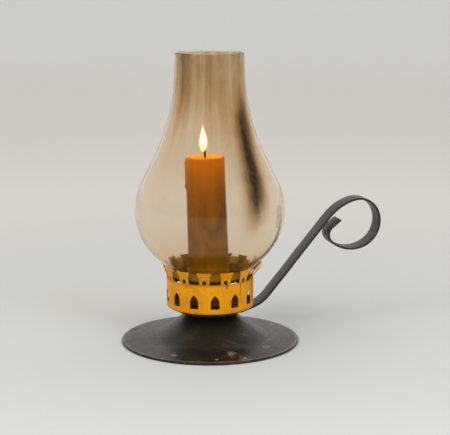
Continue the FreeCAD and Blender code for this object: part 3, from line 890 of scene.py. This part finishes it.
# ---- Base, handle and gallery ------------------------------------------------------------------
@dataclass
class BasePan:
    """The stamped base: flat crown, steep cone, shallow skirt and a hem round a wire."""

    sheet: float = 0.6 * MM
    hole_radius: float = 2.7 * MM
    radius: float = 82.5 * MM
    crown_height: float = 26.5 * MM
    crown_radius: float = 22.6 * MM
    crown_round: float = 3.5 * MM
    cone_slope: float = 36.0
    skirt_radius: float = 52.8 * MM
    skirt_round: float = 16.0 * MM
    hem_round: float = 1.2 * MM
    hem_return: float = 2.0 * MM
    dent: float = 0.28 * MM
    dented_from: tuple[float, float] = (24 * MM, 34 * MM)
    dented_to: tuple[float, float] = (70 * MM, 80 * MM)
    spacing: float = 1.3 * MM
    segments: int = 288

    def grid(self) -> np.ndarray:
        """The pan's section turned round the axis, with shallow dents.

        The section is a path and its offset by the sheet. The dents move a point up or down by
        dent * noise(angle, radius) * w, where w rises and falls smoothly between the crown's
        edge and the hem.

        Returns:
            Array of shape (rows, segments, 3).
        """
        drop = (self.skirt_radius - self.crown_radius) * math.tan(math.radians(self.cone_slope))
        hem = 2 * self.hem_round
        path = rounded_path([
            (self.hole_radius, self.crown_height, 0),
            (self.crown_radius, self.crown_height, self.crown_round),
            (self.skirt_radius, self.crown_height - drop, self.skirt_round),
            (self.radius - hem, hem, self.hem_round),
            (self.radius, hem, self.hem_round),
            (self.radius, 0, self.hem_round),
            (self.radius - self.hem_round - self.hem_return, 0, 0),
        ], self.spacing)
        grid = turned_grid(shell_section(path, -self.sheet), self.segments)
        angle, reach = polar(grid)
        noise = soft_noise(*ring(angle, 5.0), (reach / self.radius, 9.0), seed=11)
        window = smooth_step(reach, *self.dented_from) * (1 - smooth_step(reach, *self.dented_to))
        grid[..., 2] += self.dent * noise * window
        return grid

    def build(self, material: bpy.types.Material) -> None:
        """Makes the base and hides the plain one.

        Args:
            material: The paint.
        """
        piece = grid_object("painted_base", self.grid(), wrap_rows=True)
        place_piece(piece, material, "stand")
        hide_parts("base_pan")


@dataclass
class Handle:
    """The flat bar that runs from under the dish up into a finger scroll."""

    width: float = 18.0 * MM
    thickness: float = 2.0 * MM
    edge: float = 0.45 * MM
    level: float = 27.5 * MM
    lead_start: float = 28.37 * MM
    first_bend: float = 3.0 * MM
    foot_play: float = 0.05 * MM
    lead_slope: float = 19.0
    main_place: float = 48.8 * MM
    main_bend: float = 36.0 * MM
    slope: float = 50.3
    run: float = 102.0 * MM
    scroll: tuple[tuple[float, float], ...] = ((46, 37), (20, 81), (25, 88), (30.5, 66), (9, 99))
    tip: float = 10.9 * MM
    spacing: float = 0.8 * MM
    samples: int = 620
    columns: int = 32
    ripple: float = 0.10 * MM

    def centre_line(self) -> np.ndarray:
        """The bar's middle line in the plane of X and Z, evenly spaced.

        Straight runs joined by tangent arcs lead to the scroll, whose arcs each turn clockwise:
        an arc's centre lies to the right of the heading by its radius.

        Returns:
            Array of shape (n, 2).
        """
        rise = math.tan(math.radians(self.lead_slope))
        heading = math.radians(self.slope)
        turn_z = self.level + (self.main_place - self.lead_start) * rise
        pieces = [rounded_path([
            (-self.width / 2 + self.foot_play, self.level, 0),
            (self.lead_start, self.level, self.first_bend),
            (self.main_place, turn_z, self.main_bend),
            (self.main_place + self.run * math.cos(heading), turn_z + self.run * math.sin(heading), 0),
        ], self.spacing)]
        here = pieces[0][-1]
        for radius, turn in self.scroll:
            radius, sweep = radius * MM, math.radians(turn)
            centre = here + radius * np.array([math.sin(heading), -math.cos(heading)])
            start = heading + math.pi / 2
            pieces.append(arc(centre, radius, start, -sweep, self.spacing)[1:])
            heading -= sweep
            here = centre + radius * np.array([-math.sin(heading), math.cos(heading)])
        end = here + self.tip * np.array([math.cos(heading), math.sin(heading)])
        pieces.append(np.concatenate([straight(here, end, self.spacing), end[None, :]]))
        line = np.concatenate(pieces)
        length = np.concatenate([[0], np.cumsum(np.linalg.norm(np.diff(line, axis=0), axis=1))])
        even = np.linspace(0, length[-1], self.samples)
        return np.stack([np.interp(even, length, line[:, k]) for k in range(2)], axis=-1)

    def grid(self) -> np.ndarray:
        """A rounded box section carried along the middle line.

        Row s and angle a give line(s) + (+-(w - e), +-(t - e)) + e * (cos a, sin a), with the
        signs of cos a and sin a, w and t the half width and half thickness and e the edge's
        rounding. Over the screw the half width is that of a round end. The last rows shrink to
        the line, which closes the ends.

        Returns:
            Array of shape (rows, columns, 3).
        """
        line = self.centre_line()
        normal = left_of(line)
        half_width = np.full(len(line), self.width / 2)
        inner = line[:, 0] < 0
        half_width[inner] = np.sqrt(np.maximum((self.width / 2) ** 2 - line[inner, 0] ** 2, self.edge**2))
        half_thick = np.full(len(line), self.thickness / 2)
        ends = [0, *range(len(line)), len(line) - 1]
        line, normal, half_width, half_thick = (v[ends] for v in (line, normal, half_width, half_thick))
        rounding = np.full(len(line), self.edge)
        for row in (0, -1):
            half_width[row] = half_thick[row] = rounding[row] = 0.0
        half_width[[1, -2]] -= self.edge
        half_thick[[1, -2]] -= self.edge
        rounding[[1, -2]] = 0.0
        turn = np.linspace(0, 2 * math.pi, self.columns + 1)[:-1] + math.pi / self.columns
        cosine, sine = np.cos(turn)[None, :], np.sin(turn)[None, :]
        flat_width = (half_width - rounding)[:, None]
        flat_thick = (half_thick - rounding)[:, None]
        side = np.sign(cosine) * flat_width + rounding[:, None] * cosine
        up = np.sign(sine) * flat_thick + rounding[:, None] * sine
        spot = np.arange(len(line))[:, None] / len(line)
        waves = (spot + 0 * turn, 60.0), (np.sign(sine) + 0 * spot, 0.4)
        free = smooth_step(spot, 0.12, 0.2) * (1 - smooth_step(spot, 0.97, 0.995))
        up = up + self.ripple * soft_noise(*waves, seed=5) * free
        x = line[:, :1] + normal[:, :1] * up
        z = line[:, 1:] + normal[:, 1:] * up
        return np.stack([x, side, z], axis=-1)

    def build(self, material: bpy.types.Material) -> None:
        """Makes the handle and hides the plain one.

        Args:
            material: The paint.
        """
        piece = grid_object("scroll_handle", self.grid(), sharp=60.0)
        place_piece(piece, material, "stand")
        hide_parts("handle_strap")


@dataclass
class Stand:
    """Everything that stays on the table: base, handle, dish, gallery and fasteners."""

    paint: BlackPaint = BlackPaint(
        worn=(
            (273.5, 62 * MM, 7 * MM), (260, 73 * MM, 3 * MM), (280, 76 * MM, 7 * MM), (309, 64 * MM, 5 * MM),
            (228, 70 * MM, 4 * MM), (95, 66 * MM, 6 * MM), (20, 72 * MM, 5 * MM),
        ),
        # The ring of rubbed paint and painted highlight on the hem.
        rim=80.6 * MM,
    )
    strap_paint: BlackPaint = BlackPaint(
        name="black_strap", paint=(0.014, 0.012, 0.008), film=(0.050, 0.040, 0.026),
        marks=Turn.LENGTHWISE, gloss=0.38, rust_from=0.64,
    )
    # Dark brown-black paint for the dish and cup.
    brownish_paint: BlackPaint = BlackPaint(
        name="brownish_black", paint=(0.090, 0.036, 0.007), film=(0.160, 0.078, 0.018), gloss=0.5,
    )
    gilt: GiltBrass = GiltBrass()
    steel: BareSteel = BareSteel()

    def build(self) -> None:
        """Makes the new pieces and dresses the nodes that keep their shape."""
        paint, steel = self.paint.build(), self.steel.build()
        BasePan().build(paint)
        Handle().build(self.strap_paint.build())
        paint_node("gallery_band", self.gilt.build())
        brownish = self.brownish_paint.build()
        for node in ("candle_dish", "candle_cup"):
            paint_node(node, brownish)
        for node in ("rim_wire", "handle_rivets", "centre_screw",
                     "base_washer", "lock_washer", "centre_nut"):
            paint_node(node, steel)


# ---- Chimney -----------------------------------------------------------------------------------
@dataclass
class Chimney:
    """The blown glass: straight foot, round bulb, long shoulder and slim flue, sooted inside, with painted
    shade on the foot and low down inside.
    """

    foot_radius: float = 38.1 * MM
    foot_height: float = 7.4 * MM
    # foot_shade: painted shade, a near-black value on both faces of the foot
    foot_shade: float = 0.92
    foot_round: float = 8.0 * MM
    wall: float = 2.0 * MM
    bulb_radius: float = 69.1 * MM
    bulb_rise: float = 61.5 * MM
    bulb_round: float = 58.2 * MM
    shoulder_slope: float = 26.1
    flue_radius: float = 31.3 * MM
    flue_taper: float = 2.0
    flue_round: float = 190.0 * MM
    lip: float = 0.9 * MM
    segments: int = 224
    spacing: float = 1.9 * MM
    film_curve: tuple[tuple[float, float], ...] = (
        (60, 0.30), (72, 0.28), (80, 0.22), (90, 0.19), (100, 0.15), (115, 0.12), (130, 0.12),
        (150, 0.14), (175, 0.18), (195, 0.22), (215, 0.27), (240, 0.31), (268, 0.33),
    )
    streak_side: float = 296.0
    streak_lean: float = 0.0036
    streak_middle: float = 143
    streak_depth: float = 0.88
    left_side: float = 212.0
    left_depth: float = 0.34
    # Level, waviness and soft edge of the painted shade low inside the glass.
    shade_level: float = 72.5 * MM
    shade_wave: float = 0.7 * MM
    shade_edge: float = 0.8 * MM
    glass: SootyGlass = SootyGlass()

    def outline(self) -> np.ndarray:
        """The outer face from the foot up to the mouth.

        The line from the foot's corner touches the bulb's circle, as the shoulder's line does on
        its other side, and the shoulder meets the flue's line in a long arc.

        Returns:
            Array of shape (n, 2) of radius and height.
        """
        low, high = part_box("chimney")
        foot, top = low.z, high.z
        centre_r, bulb_z = self.bulb_radius - self.bulb_round, foot + self.bulb_rise
        upper, flue = math.radians(self.shoulder_slope), math.tan(math.radians(self.flue_taper))
        corner = foot + self.foot_height
        across, down = self.foot_radius - centre_r, corner - bulb_z
        lower = math.atan2(down, across) + math.acos(self.bulb_round / math.hypot(across, down))
        mean, spread = (upper + lower) / 2, (upper - lower) / 2
        reach = self.bulb_round / math.cos(spread)
        bulb = (centre_r + reach * math.cos(mean), bulb_z + reach * math.sin(mean))
        fall = math.tan(upper)
        neck_z = (bulb[0] + fall * bulb[1] - self.flue_radius - flue * top) / (fall - flue)
        neck_r = self.flue_radius + flue * (top - neck_z)
        return rounded_path([
            (self.foot_radius, foot + self.lip, 0),
            (self.foot_radius, corner, self.foot_round),
            (*bulb, self.bulb_round),
            (neck_r, neck_z, self.flue_round),
            (self.flue_radius, top - self.lip, 0),
        ], self.spacing)

    def soot_and_shade(self, grid: np.ndarray, inner: np.ndarray) -> np.ndarray:
        """How thick the sooting lies, 0 to 1, on the inner face, and how dark the painted shade is on both
        faces of the foot.

        All lengths are in millimetres. A curve of height gives the even film, with streaks in
        the flue, as noise that changes quickly round the axis and slowly up it, and one darker
        side near the mouth. A thick streak s runs down another side: s is exp(-(distance /
        width)^2) times its own fading in height, and the film f becomes 1 - (1 - f) (1 - s).

        Args:
            grid: The chimney's points.
            inner: True for the rows of the inner face.

        Returns:
            Array of shape (rows, segments).
        """
        angle, reach = polar(grid)
        height, reach = grid[..., 2] / MM, reach / MM
        film = np.interp(height, *zip(*self.film_curve))
        streaks = soft_noise(*ring(angle, 26.0), (height, 0.012), seed=3)
        clouds = soft_noise(*ring(angle, 3.0), (height, 0.035), seed=8)
        upper = smooth_step(height, 150, 225)
        value = film * (1 + 0.36 * streaks * upper + 0.30 * clouds)
        left = arc_distance(angle, math.radians(self.left_side), reach)
        value += self.left_depth * np.exp(-((left / 9) ** 2)) * smooth_step(height, 190, 235)
        wander = math.radians(self.streak_side) + self.streak_lean * (height - self.streak_middle)
        away = arc_distance(angle, wander, reach)
        width = 12.0 + 1.6 * soft_noise((height, 0.09), seed=17)
        fade = smooth_step(height, 100, 150) * (1 - 0.85 * smooth_step(height, 205, 246))
        ragged = 1 + 0.16 * soft_noise(*ring(angle, 26.0), (height, 0.05), seed=29)
        streak = np.clip(self.streak_depth * np.exp(-((away / width) ** 2)) * fade * ragged, 0, 0.97)
        value = 1 - (1 - np.clip(value, 0, 1)) * (1 - streak)
        # Painted shade: the foot is made nearly black on both faces, a dark sheet within the gallery.
        foot = self.foot_shade * (1 - smooth_step(height, 63.5, 65.5))
        return np.maximum(value * inner[:, None], foot)

    def low_shade(self, grid: np.ndarray, inner: np.ndarray) -> np.ndarray:
        """Where painted shade browns the glass, 0 to 1: below a slightly wavy level on the inner face."""
        angle, _ = polar(grid)
        level = self.shade_level + self.shade_wave * soft_noise(*ring(angle, 4.0), seed=21)
        clear = smooth_step(grid[..., 2], level - self.shade_edge, level + self.shade_edge)
        return (1 - clear) * inner[:, None]

    def build(self) -> None:
        """Makes the glass and hides the plain one."""
        path = self.outline()
        section = shell_section(path, self.wall, self.lip)
        grid = turned_grid(section, self.segments)
        inner = np.zeros(len(section), bool)
        inner[len(path) + LIP_POINTS : 2 * len(path) + LIP_POINTS] = True
        piece = grid_object("sooted_chimney", grid, wrap_rows=True)
        set_attribute(piece, "soot_and_shade", self.soot_and_shade(grid, inner))
        set_attribute(piece, "low_shade", self.low_shade(grid, inner))
        place_piece(piece, self.glass.build(), "chimney_glass")
        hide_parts("chimney")


# ---- Candle, wick and flame ----------------------------------------------------------------------
@dataclass
class CandleStick:
    """The leaning candle with its melted top, its wick and the flame."""

    foot: float = 29.6 * MM
    foot_radius: float = 19.0 * MM
    top_radius: float = 17.9 * MM
    length: float = 144.0 * MM
    shoulder: float = 2.5 * MM
    foot_edge: float = 0.8 * MM
    pool_depth: float = 3.0 * MM
    pool_margin: float = 3.0 * MM
    pool_lip: float = 1.0 * MM
    pool_lip_round: float = 1.4 * MM
    pool_round: float = 3.0 * MM
    recess_radius: float = 7.5 * MM
    recess_depth: float = 2.6 * MM
    lean: float = 1.8
    lean_side: float = 166.0
    wick_radius: float = 1.0 * MM
    wick_taper: float = 0.8 * MM
    wick_above: float = 9.0 * MM
    wick_curl_radius: float = 5.0 * MM
    wick_curl: float = 50.0
    spacing: float = 1.1 * MM
    columns: int = 176
    melt: float = 2.0 * MM
    melt_reach: float = 12.0 * MM
    cup_edge: tuple[float, float] = (132 * MM, 136 * MM)
    dent: float = 0.22 * MM
    runs: int = 7
    flame_drop: float = 8.0 * MM
    flame_inset: tuple[float, float] = (1.3 * MM, 0.9 * MM)
    flame_bend: float = 0.6 * MM
    flame_core_rise: float = 1.5 * MM
    flame_height: float = 27.0 * MM
    flame_width: float = 8.8 * MM
    wax: CandleWax = CandleWax()
    char: BurntWick = BurntWick()

    def leaned(self, points: np.ndarray) -> np.ndarray:
        """Tips points about the foot's edge on the leaning side.

        With n the level direction of the lean, u up and p the edge, a point's parts along n and
        u turn by the lean, and the part across stays.

        Args:
            points: Array whose last axis is (x, y, z).

        Returns:
            The tipped points.
        """
        side, lean = math.radians(self.lean_side), math.radians(self.lean)
        n = np.array([math.cos(side), math.sin(side), 0.0])
        p = (self.foot_radius - self.foot_edge) * n + np.array([0, 0, self.foot])
        away = points - p
        level, up = away @ n, away[..., 2]
        moved = away - level[..., None] * n
        moved[..., 2] = up * math.cos(lean) - level * math.sin(lean)
        return p + moved + (level * math.cos(lean) + up * math.sin(lean))[..., None] * n

    def candle_grid(self) -> np.ndarray:
        """The candle's section turned round its own axis, with a melted rim and wax runs.

        Near the top a point sinks by up to 2 mm times noise of its angle. Each run adds
        outwards a ridge exp(-(arc distance / width)^2) that starts at the rim and ends in a
        small bead.

        Returns:
            Array of shape (rows, columns, 3).
        """
        top = self.foot + self.length
        pool = self.top_radius - self.pool_margin
        section = rounded_path([
            (0, self.foot + self.recess_depth, 0),
            (self.recess_radius, self.foot + self.recess_depth, 0),
            (self.recess_radius, self.foot, 0),
            (self.foot_radius, self.foot, self.foot_edge),
            (self.top_radius, top, self.shoulder),
            (pool + self.pool_lip, top, self.pool_lip_round),
            (pool / 2, top - self.pool_depth, self.pool_round),
            (0, top - self.pool_depth, 0),
        ], self.spacing)
        section[[0, -1], 0] = 0.0
        grid = turned_grid(section, self.columns)
        angle, reach = polar(grid)
        angle[[0, -1]] = 0.0
        below = top - grid[..., 2]
        outer = smooth_step(reach, 9 * MM, 15 * MM)
        melt = 0.5 + 0.5 * soft_noise(*ring(angle, 2.4), seed=4)
        fading = 1 - smooth_step(below, 0, self.melt_reach)
        grid[..., 2] -= self.melt * np.clip(melt, 0, 1) * fading * outer
        swell = self.dent * soft_noise(*ring(angle, 3.0), (below / self.length, 7.0), seed=9)
        random = np.random.default_rng(31)
        for _ in range(self.runs):
            where, width = random.uniform(-math.pi, math.pi), random.uniform(1.1, 2.0) * MM
            long = random.uniform(9, 42) * MM
            across = arc_distance(angle, where, reach)
            bead = 1 + 0.7 * np.exp(-(((below - long) / (2.2 * MM)) ** 2))
            ended = smooth_step(below, long, long + 2.5 * MM)
            height = random.uniform(0.35, 0.8) * MM * bead * (1 - ended)
            swell += height * np.exp(-((across / width) ** 2))
        in_cup = smooth_step(below, *self.cup_edge)
        swell *= smooth_step(below, 0.5 * MM, 5 * MM) * outer * (1 - in_cup)
        grid[..., 0] += swell * np.cos(angle)
        grid[..., 1] += swell * np.sin(angle)
        return self.leaned(grid)

    def wick_grid(self) -> np.ndarray:
        """A round section carried up the wick, plaited on its surface, and closed at both ends.

        Row s and angle a give line(s) + q * (cos a * normal + sin a * Y), where the radius q
        is the wick's times 0.92 + 0.13 * |sin(3 a / 2 + 2.2 s)|, with s in millimetres, and shrinks
        to 0 at the ends.

        Returns:
            Array of shape (rows, columns, 3).
        """
        bottom = self.foot + self.recess_depth
        straight_top = self.foot + self.length - self.pool_depth + self.wick_above
        bend = math.radians(self.wick_curl)
        centre = np.array([-self.wick_curl_radius, straight_top])
        line = np.concatenate([
            straight(np.array([0.0, bottom]), np.array([0.0, straight_top]), 0.7 * MM),
            arc(centre, self.wick_curl_radius, 0.0, bend, 0.25 * MM),
        ])
        tangents = np.gradient(line, axis=0)
        tangents /= np.linalg.norm(tangents, axis=1, keepdims=True)
        angle = np.linspace(0, 2 * math.pi, 24, endpoint=False)[None, :]
        along = np.cumsum(np.linalg.norm(np.diff(line, axis=0, prepend=line[:1]), axis=1))[:, None]
        plait = 0.92 + 0.13 * np.abs(np.sin(1.5 * angle + along / MM * 2.2))
        left = along[-1] - along
        ends = np.sqrt(np.clip(np.minimum(along, left) / self.wick_taper, 0, 1))
        radius = self.wick_radius * plait * ends
        level = radius * np.cos(angle)
        x = line[:, :1] + tangents[:, 1:] * level
        z = line[:, 1:] - tangents[:, :1] * level
        return self.leaned(np.stack([x, radius * np.sin(angle), z], axis=-1))

    def flame_grid(self, share: float) -> np.ndarray:
        """A drop about a slightly bent line: radius w * sin(pi * t^0.6) at t up the line.

        Args:
            share: Size of this shell, as a share of the outer one's.

        Returns:
            Array of shape (rows, columns, 3).
        """
        low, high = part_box("wick")
        start = high.z - self.flame_drop
        t = np.linspace(0, 1, 48)[:, None]
        angle = np.linspace(0, 2 * math.pi, 40, endpoint=False)[None, :]
        radius = share * self.flame_width / 2 * np.sin(math.pi * t**0.6)
        radius[[0, -1]] = 0.0
        grow = (0.55 + 0.45 * share) * self.flame_height
        inset_x, inset_y = self.flame_inset
        x = low.x + inset_x - self.flame_bend * t**2 + radius * np.cos(angle)
        y = high.y - inset_y + radius * np.sin(angle)
        z = start + (1 - share) * self.flame_core_rise + t * grow + 0 * angle
        return np.stack([x, y, z], axis=-1)

    def build(self) -> None:
        """Makes the candle, its wick and the flame's two shells."""
        candle = grid_object("melted_candle", self.candle_grid(), sharp=55.0)
        place_piece(candle, self.wax.build(), "candle_stick")
        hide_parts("candle")
        wick = grid_object("plaited_wick", self.wick_grid(), sharp=80.0)
        place_piece(wick, self.char.build(), "candle_stick")
        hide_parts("wick")
        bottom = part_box("wick")[1].z - self.flame_drop
        top = bottom + self.flame_height
        for name, share, root, body, strength, cover in (
            ("flame_veil", 1.0, (1.0, 0.22, 0.01), (1.0, 0.55, 0.12), 1.6, 0.42),
            ("flame_core", 0.74, (1.0, 0.50, 0.08), (1.0, 0.90, 0.66), 4.2, 0.95),
        ):
            finish = FlameLight(name, root, body, strength, cover, bottom, top)
            shell = grid_object(name, self.flame_grid(share), sharp=80.0)
            place_piece(shell, finish.build(), "candle_stick")
            shell.visible_shadow = False


# ---- Studio --------------------------------------------------------------------------------------
@dataclass(frozen=True)
class SoftBox:
    """A rectangular light aimed at the lamp."""

    name: str
    azimuth: float
    height: float
    distance: float
    size: tuple[float, float]
    power: float
    colour: Colour
    mirrored: bool = True

    def build(self, target: Vector) -> None:
        """Hangs the light.

        Args:
            target: Point that it faces.
        """
        data = bpy.data.lights.new(self.name, "AREA")
        data.shape, data.size, data.size_y = "RECTANGLE", *self.size
        data.energy, data.color = self.power, self.colour
        lamp = linked(self.name, data)
        turn = math.radians(self.azimuth)
        lamp.location = (self.distance * math.cos(turn), self.distance * math.sin(turn), self.height)
        lamp.rotation_euler = (target - lamp.location).to_track_quat("-Z", "Y").to_euler()
        lamp.visible_glossy, lamp.visible_transmission = self.mirrored, False


@dataclass
class Studio:
    """Pale floor, soft lights and the camera."""

    facing: float = 256.0
    distance: float = 1.1506
    eye_height: float = 0.332
    pitch: float = 10.61
    yaw: float = 0.69
    lens: float = 101.68
    floor_radius: float = 60.0
    air: Colour = (1.0, 0.985, 0.960)
    air_behind: float = 0.80
    air_before: float = 0.12
    aim: float = 0.11
    sheet_power: float = 1.75
    sheet_angle: float = 85.0
    flame_power: float = 0.15
    flame_colour: Colour = (1.0, 0.52, 0.16)
    flame_size: float = 3 * MM
    ground: FloorPaper = FloorPaper()

    def floor(self) -> None:
        """Lays the floor: a disc whose rings grow wider outwards, radius R * t^3."""
        t = np.linspace(0, 1, 40)
        section = np.stack([self.floor_radius * t**3, 0 * t], axis=-1)
        grid = turned_grid(section, 96)
        under = grid.copy()
        under[..., 2] = -2 * MM
        plate = grid_object("pale_floor", np.concatenate([grid, under[::-1]]))
        plate.data.materials.append(self.ground.build())

    def room(self) -> None:
        """Sets the light of the room: bright behind the lamp and dim before it."""
        world = bpy.data.worlds.new("soft_room")
        world.use_nodes = True
        tree = world.node_tree
        background = tree.nodes["Background"]
        background.inputs["Color"].default_value = (*self.air, 1.0)
        turn = math.radians(self.facing)
        look = tree.nodes.new("ShaderNodeTexCoord")
        share = tree.nodes.new("ShaderNodeVectorMath")
        share.operation = "DOT_PRODUCT"
        share.inputs[1].default_value = (math.cos(turn), math.sin(turn), 0.0)
        span = tree.nodes.new("ShaderNodeMapRange")
        span.interpolation_type = "SMOOTHSTEP"
        for key, value in (("From Min", -0.75), ("From Max", 0.15),
                           ("To Min", self.air_behind), ("To Max", self.air_before)):
            span.inputs[key].default_value = value
        tree.links.new(look.outputs["Generated"], share.inputs[0])
        tree.links.new(share.outputs["Value"], span.inputs["Value"])
        tree.links.new(span.outputs["Result"], background.inputs["Strength"])
        bpy.context.scene.world = world

    def lights(self) -> None:
        """Hangs the softboxes and the broad light from above, and lights the flame."""
        target = Vector((0, 0, self.aim))
        large = ((0.80, 0.90), 8.0, (1.0, 0.98, 0.95), False)
        for box in (
            SoftBox("left_box", self.facing - 42, 0.90, 1.20, *large),
            SoftBox("right_box", self.facing + 46, 1.25, 0.95, (0.10, 0.22), 1.6, (1.0, 0.98, 0.94)),
            SoftBox("fill_box", self.facing + 42, 0.90, 1.20, *large),
        ):
            box.build(target)
        sheet = bpy.data.lights.new("sky_sheet", "SUN")
        sheet.energy, sheet.angle, sheet.color = self.sheet_power, math.radians(self.sheet_angle), self.air
        sky = linked("sky_sheet", sheet)
        sky.rotation_euler = (math.radians(14), math.radians(-8), 0.0)
        sky.visible_glossy = sky.visible_transmission = False
        data = bpy.data.lights.new("candle_light", "POINT")
        data.energy, data.color, data.shadow_soft_size = self.flame_power, self.flame_colour, self.flame_size
        lamp = linked("candle_light", data)
        low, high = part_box("wick")
        lamp.location = (low.x + 1.0 * MM, high.y - 1.0 * MM, high.z + 7 * MM)
        lamp.visible_transmission = lamp.visible_glossy = False

    def camera(self) -> None:
        """Places the camera: higher than the chimney's mouth, looking down a little."""
        data = bpy.data.cameras.new("camera")
        data.lens, data.sensor_width, data.sensor_fit = self.lens, 36.0, "HORIZONTAL"
        eye = linked("camera", data)
        turn = math.radians(self.facing)
        eye.location = (self.distance * math.cos(turn), self.distance * math.sin(turn), self.eye_height)
        eye.rotation_euler = (
            math.radians(90 - self.pitch), 0.0, math.radians(self.facing + 90 - self.yaw)
        )
        bpy.context.scene.camera = eye

    def build(self) -> None:
        """Makes the whole studio."""
        self.floor()
        self.room()
        self.lights()
        self.camera()
        bpy.context.scene.view_settings.view_transform = "Standard"


def main() -> None:
    """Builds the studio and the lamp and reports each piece."""
    logging.basicConfig(level=logging.INFO, format="%(name)s %(message)s")
    Studio().build()
    Stand().build()
    Chimney().build()
    CandleStick().build()
    LOG.info("sizes written")


if __name__ == "__main__":
    main()
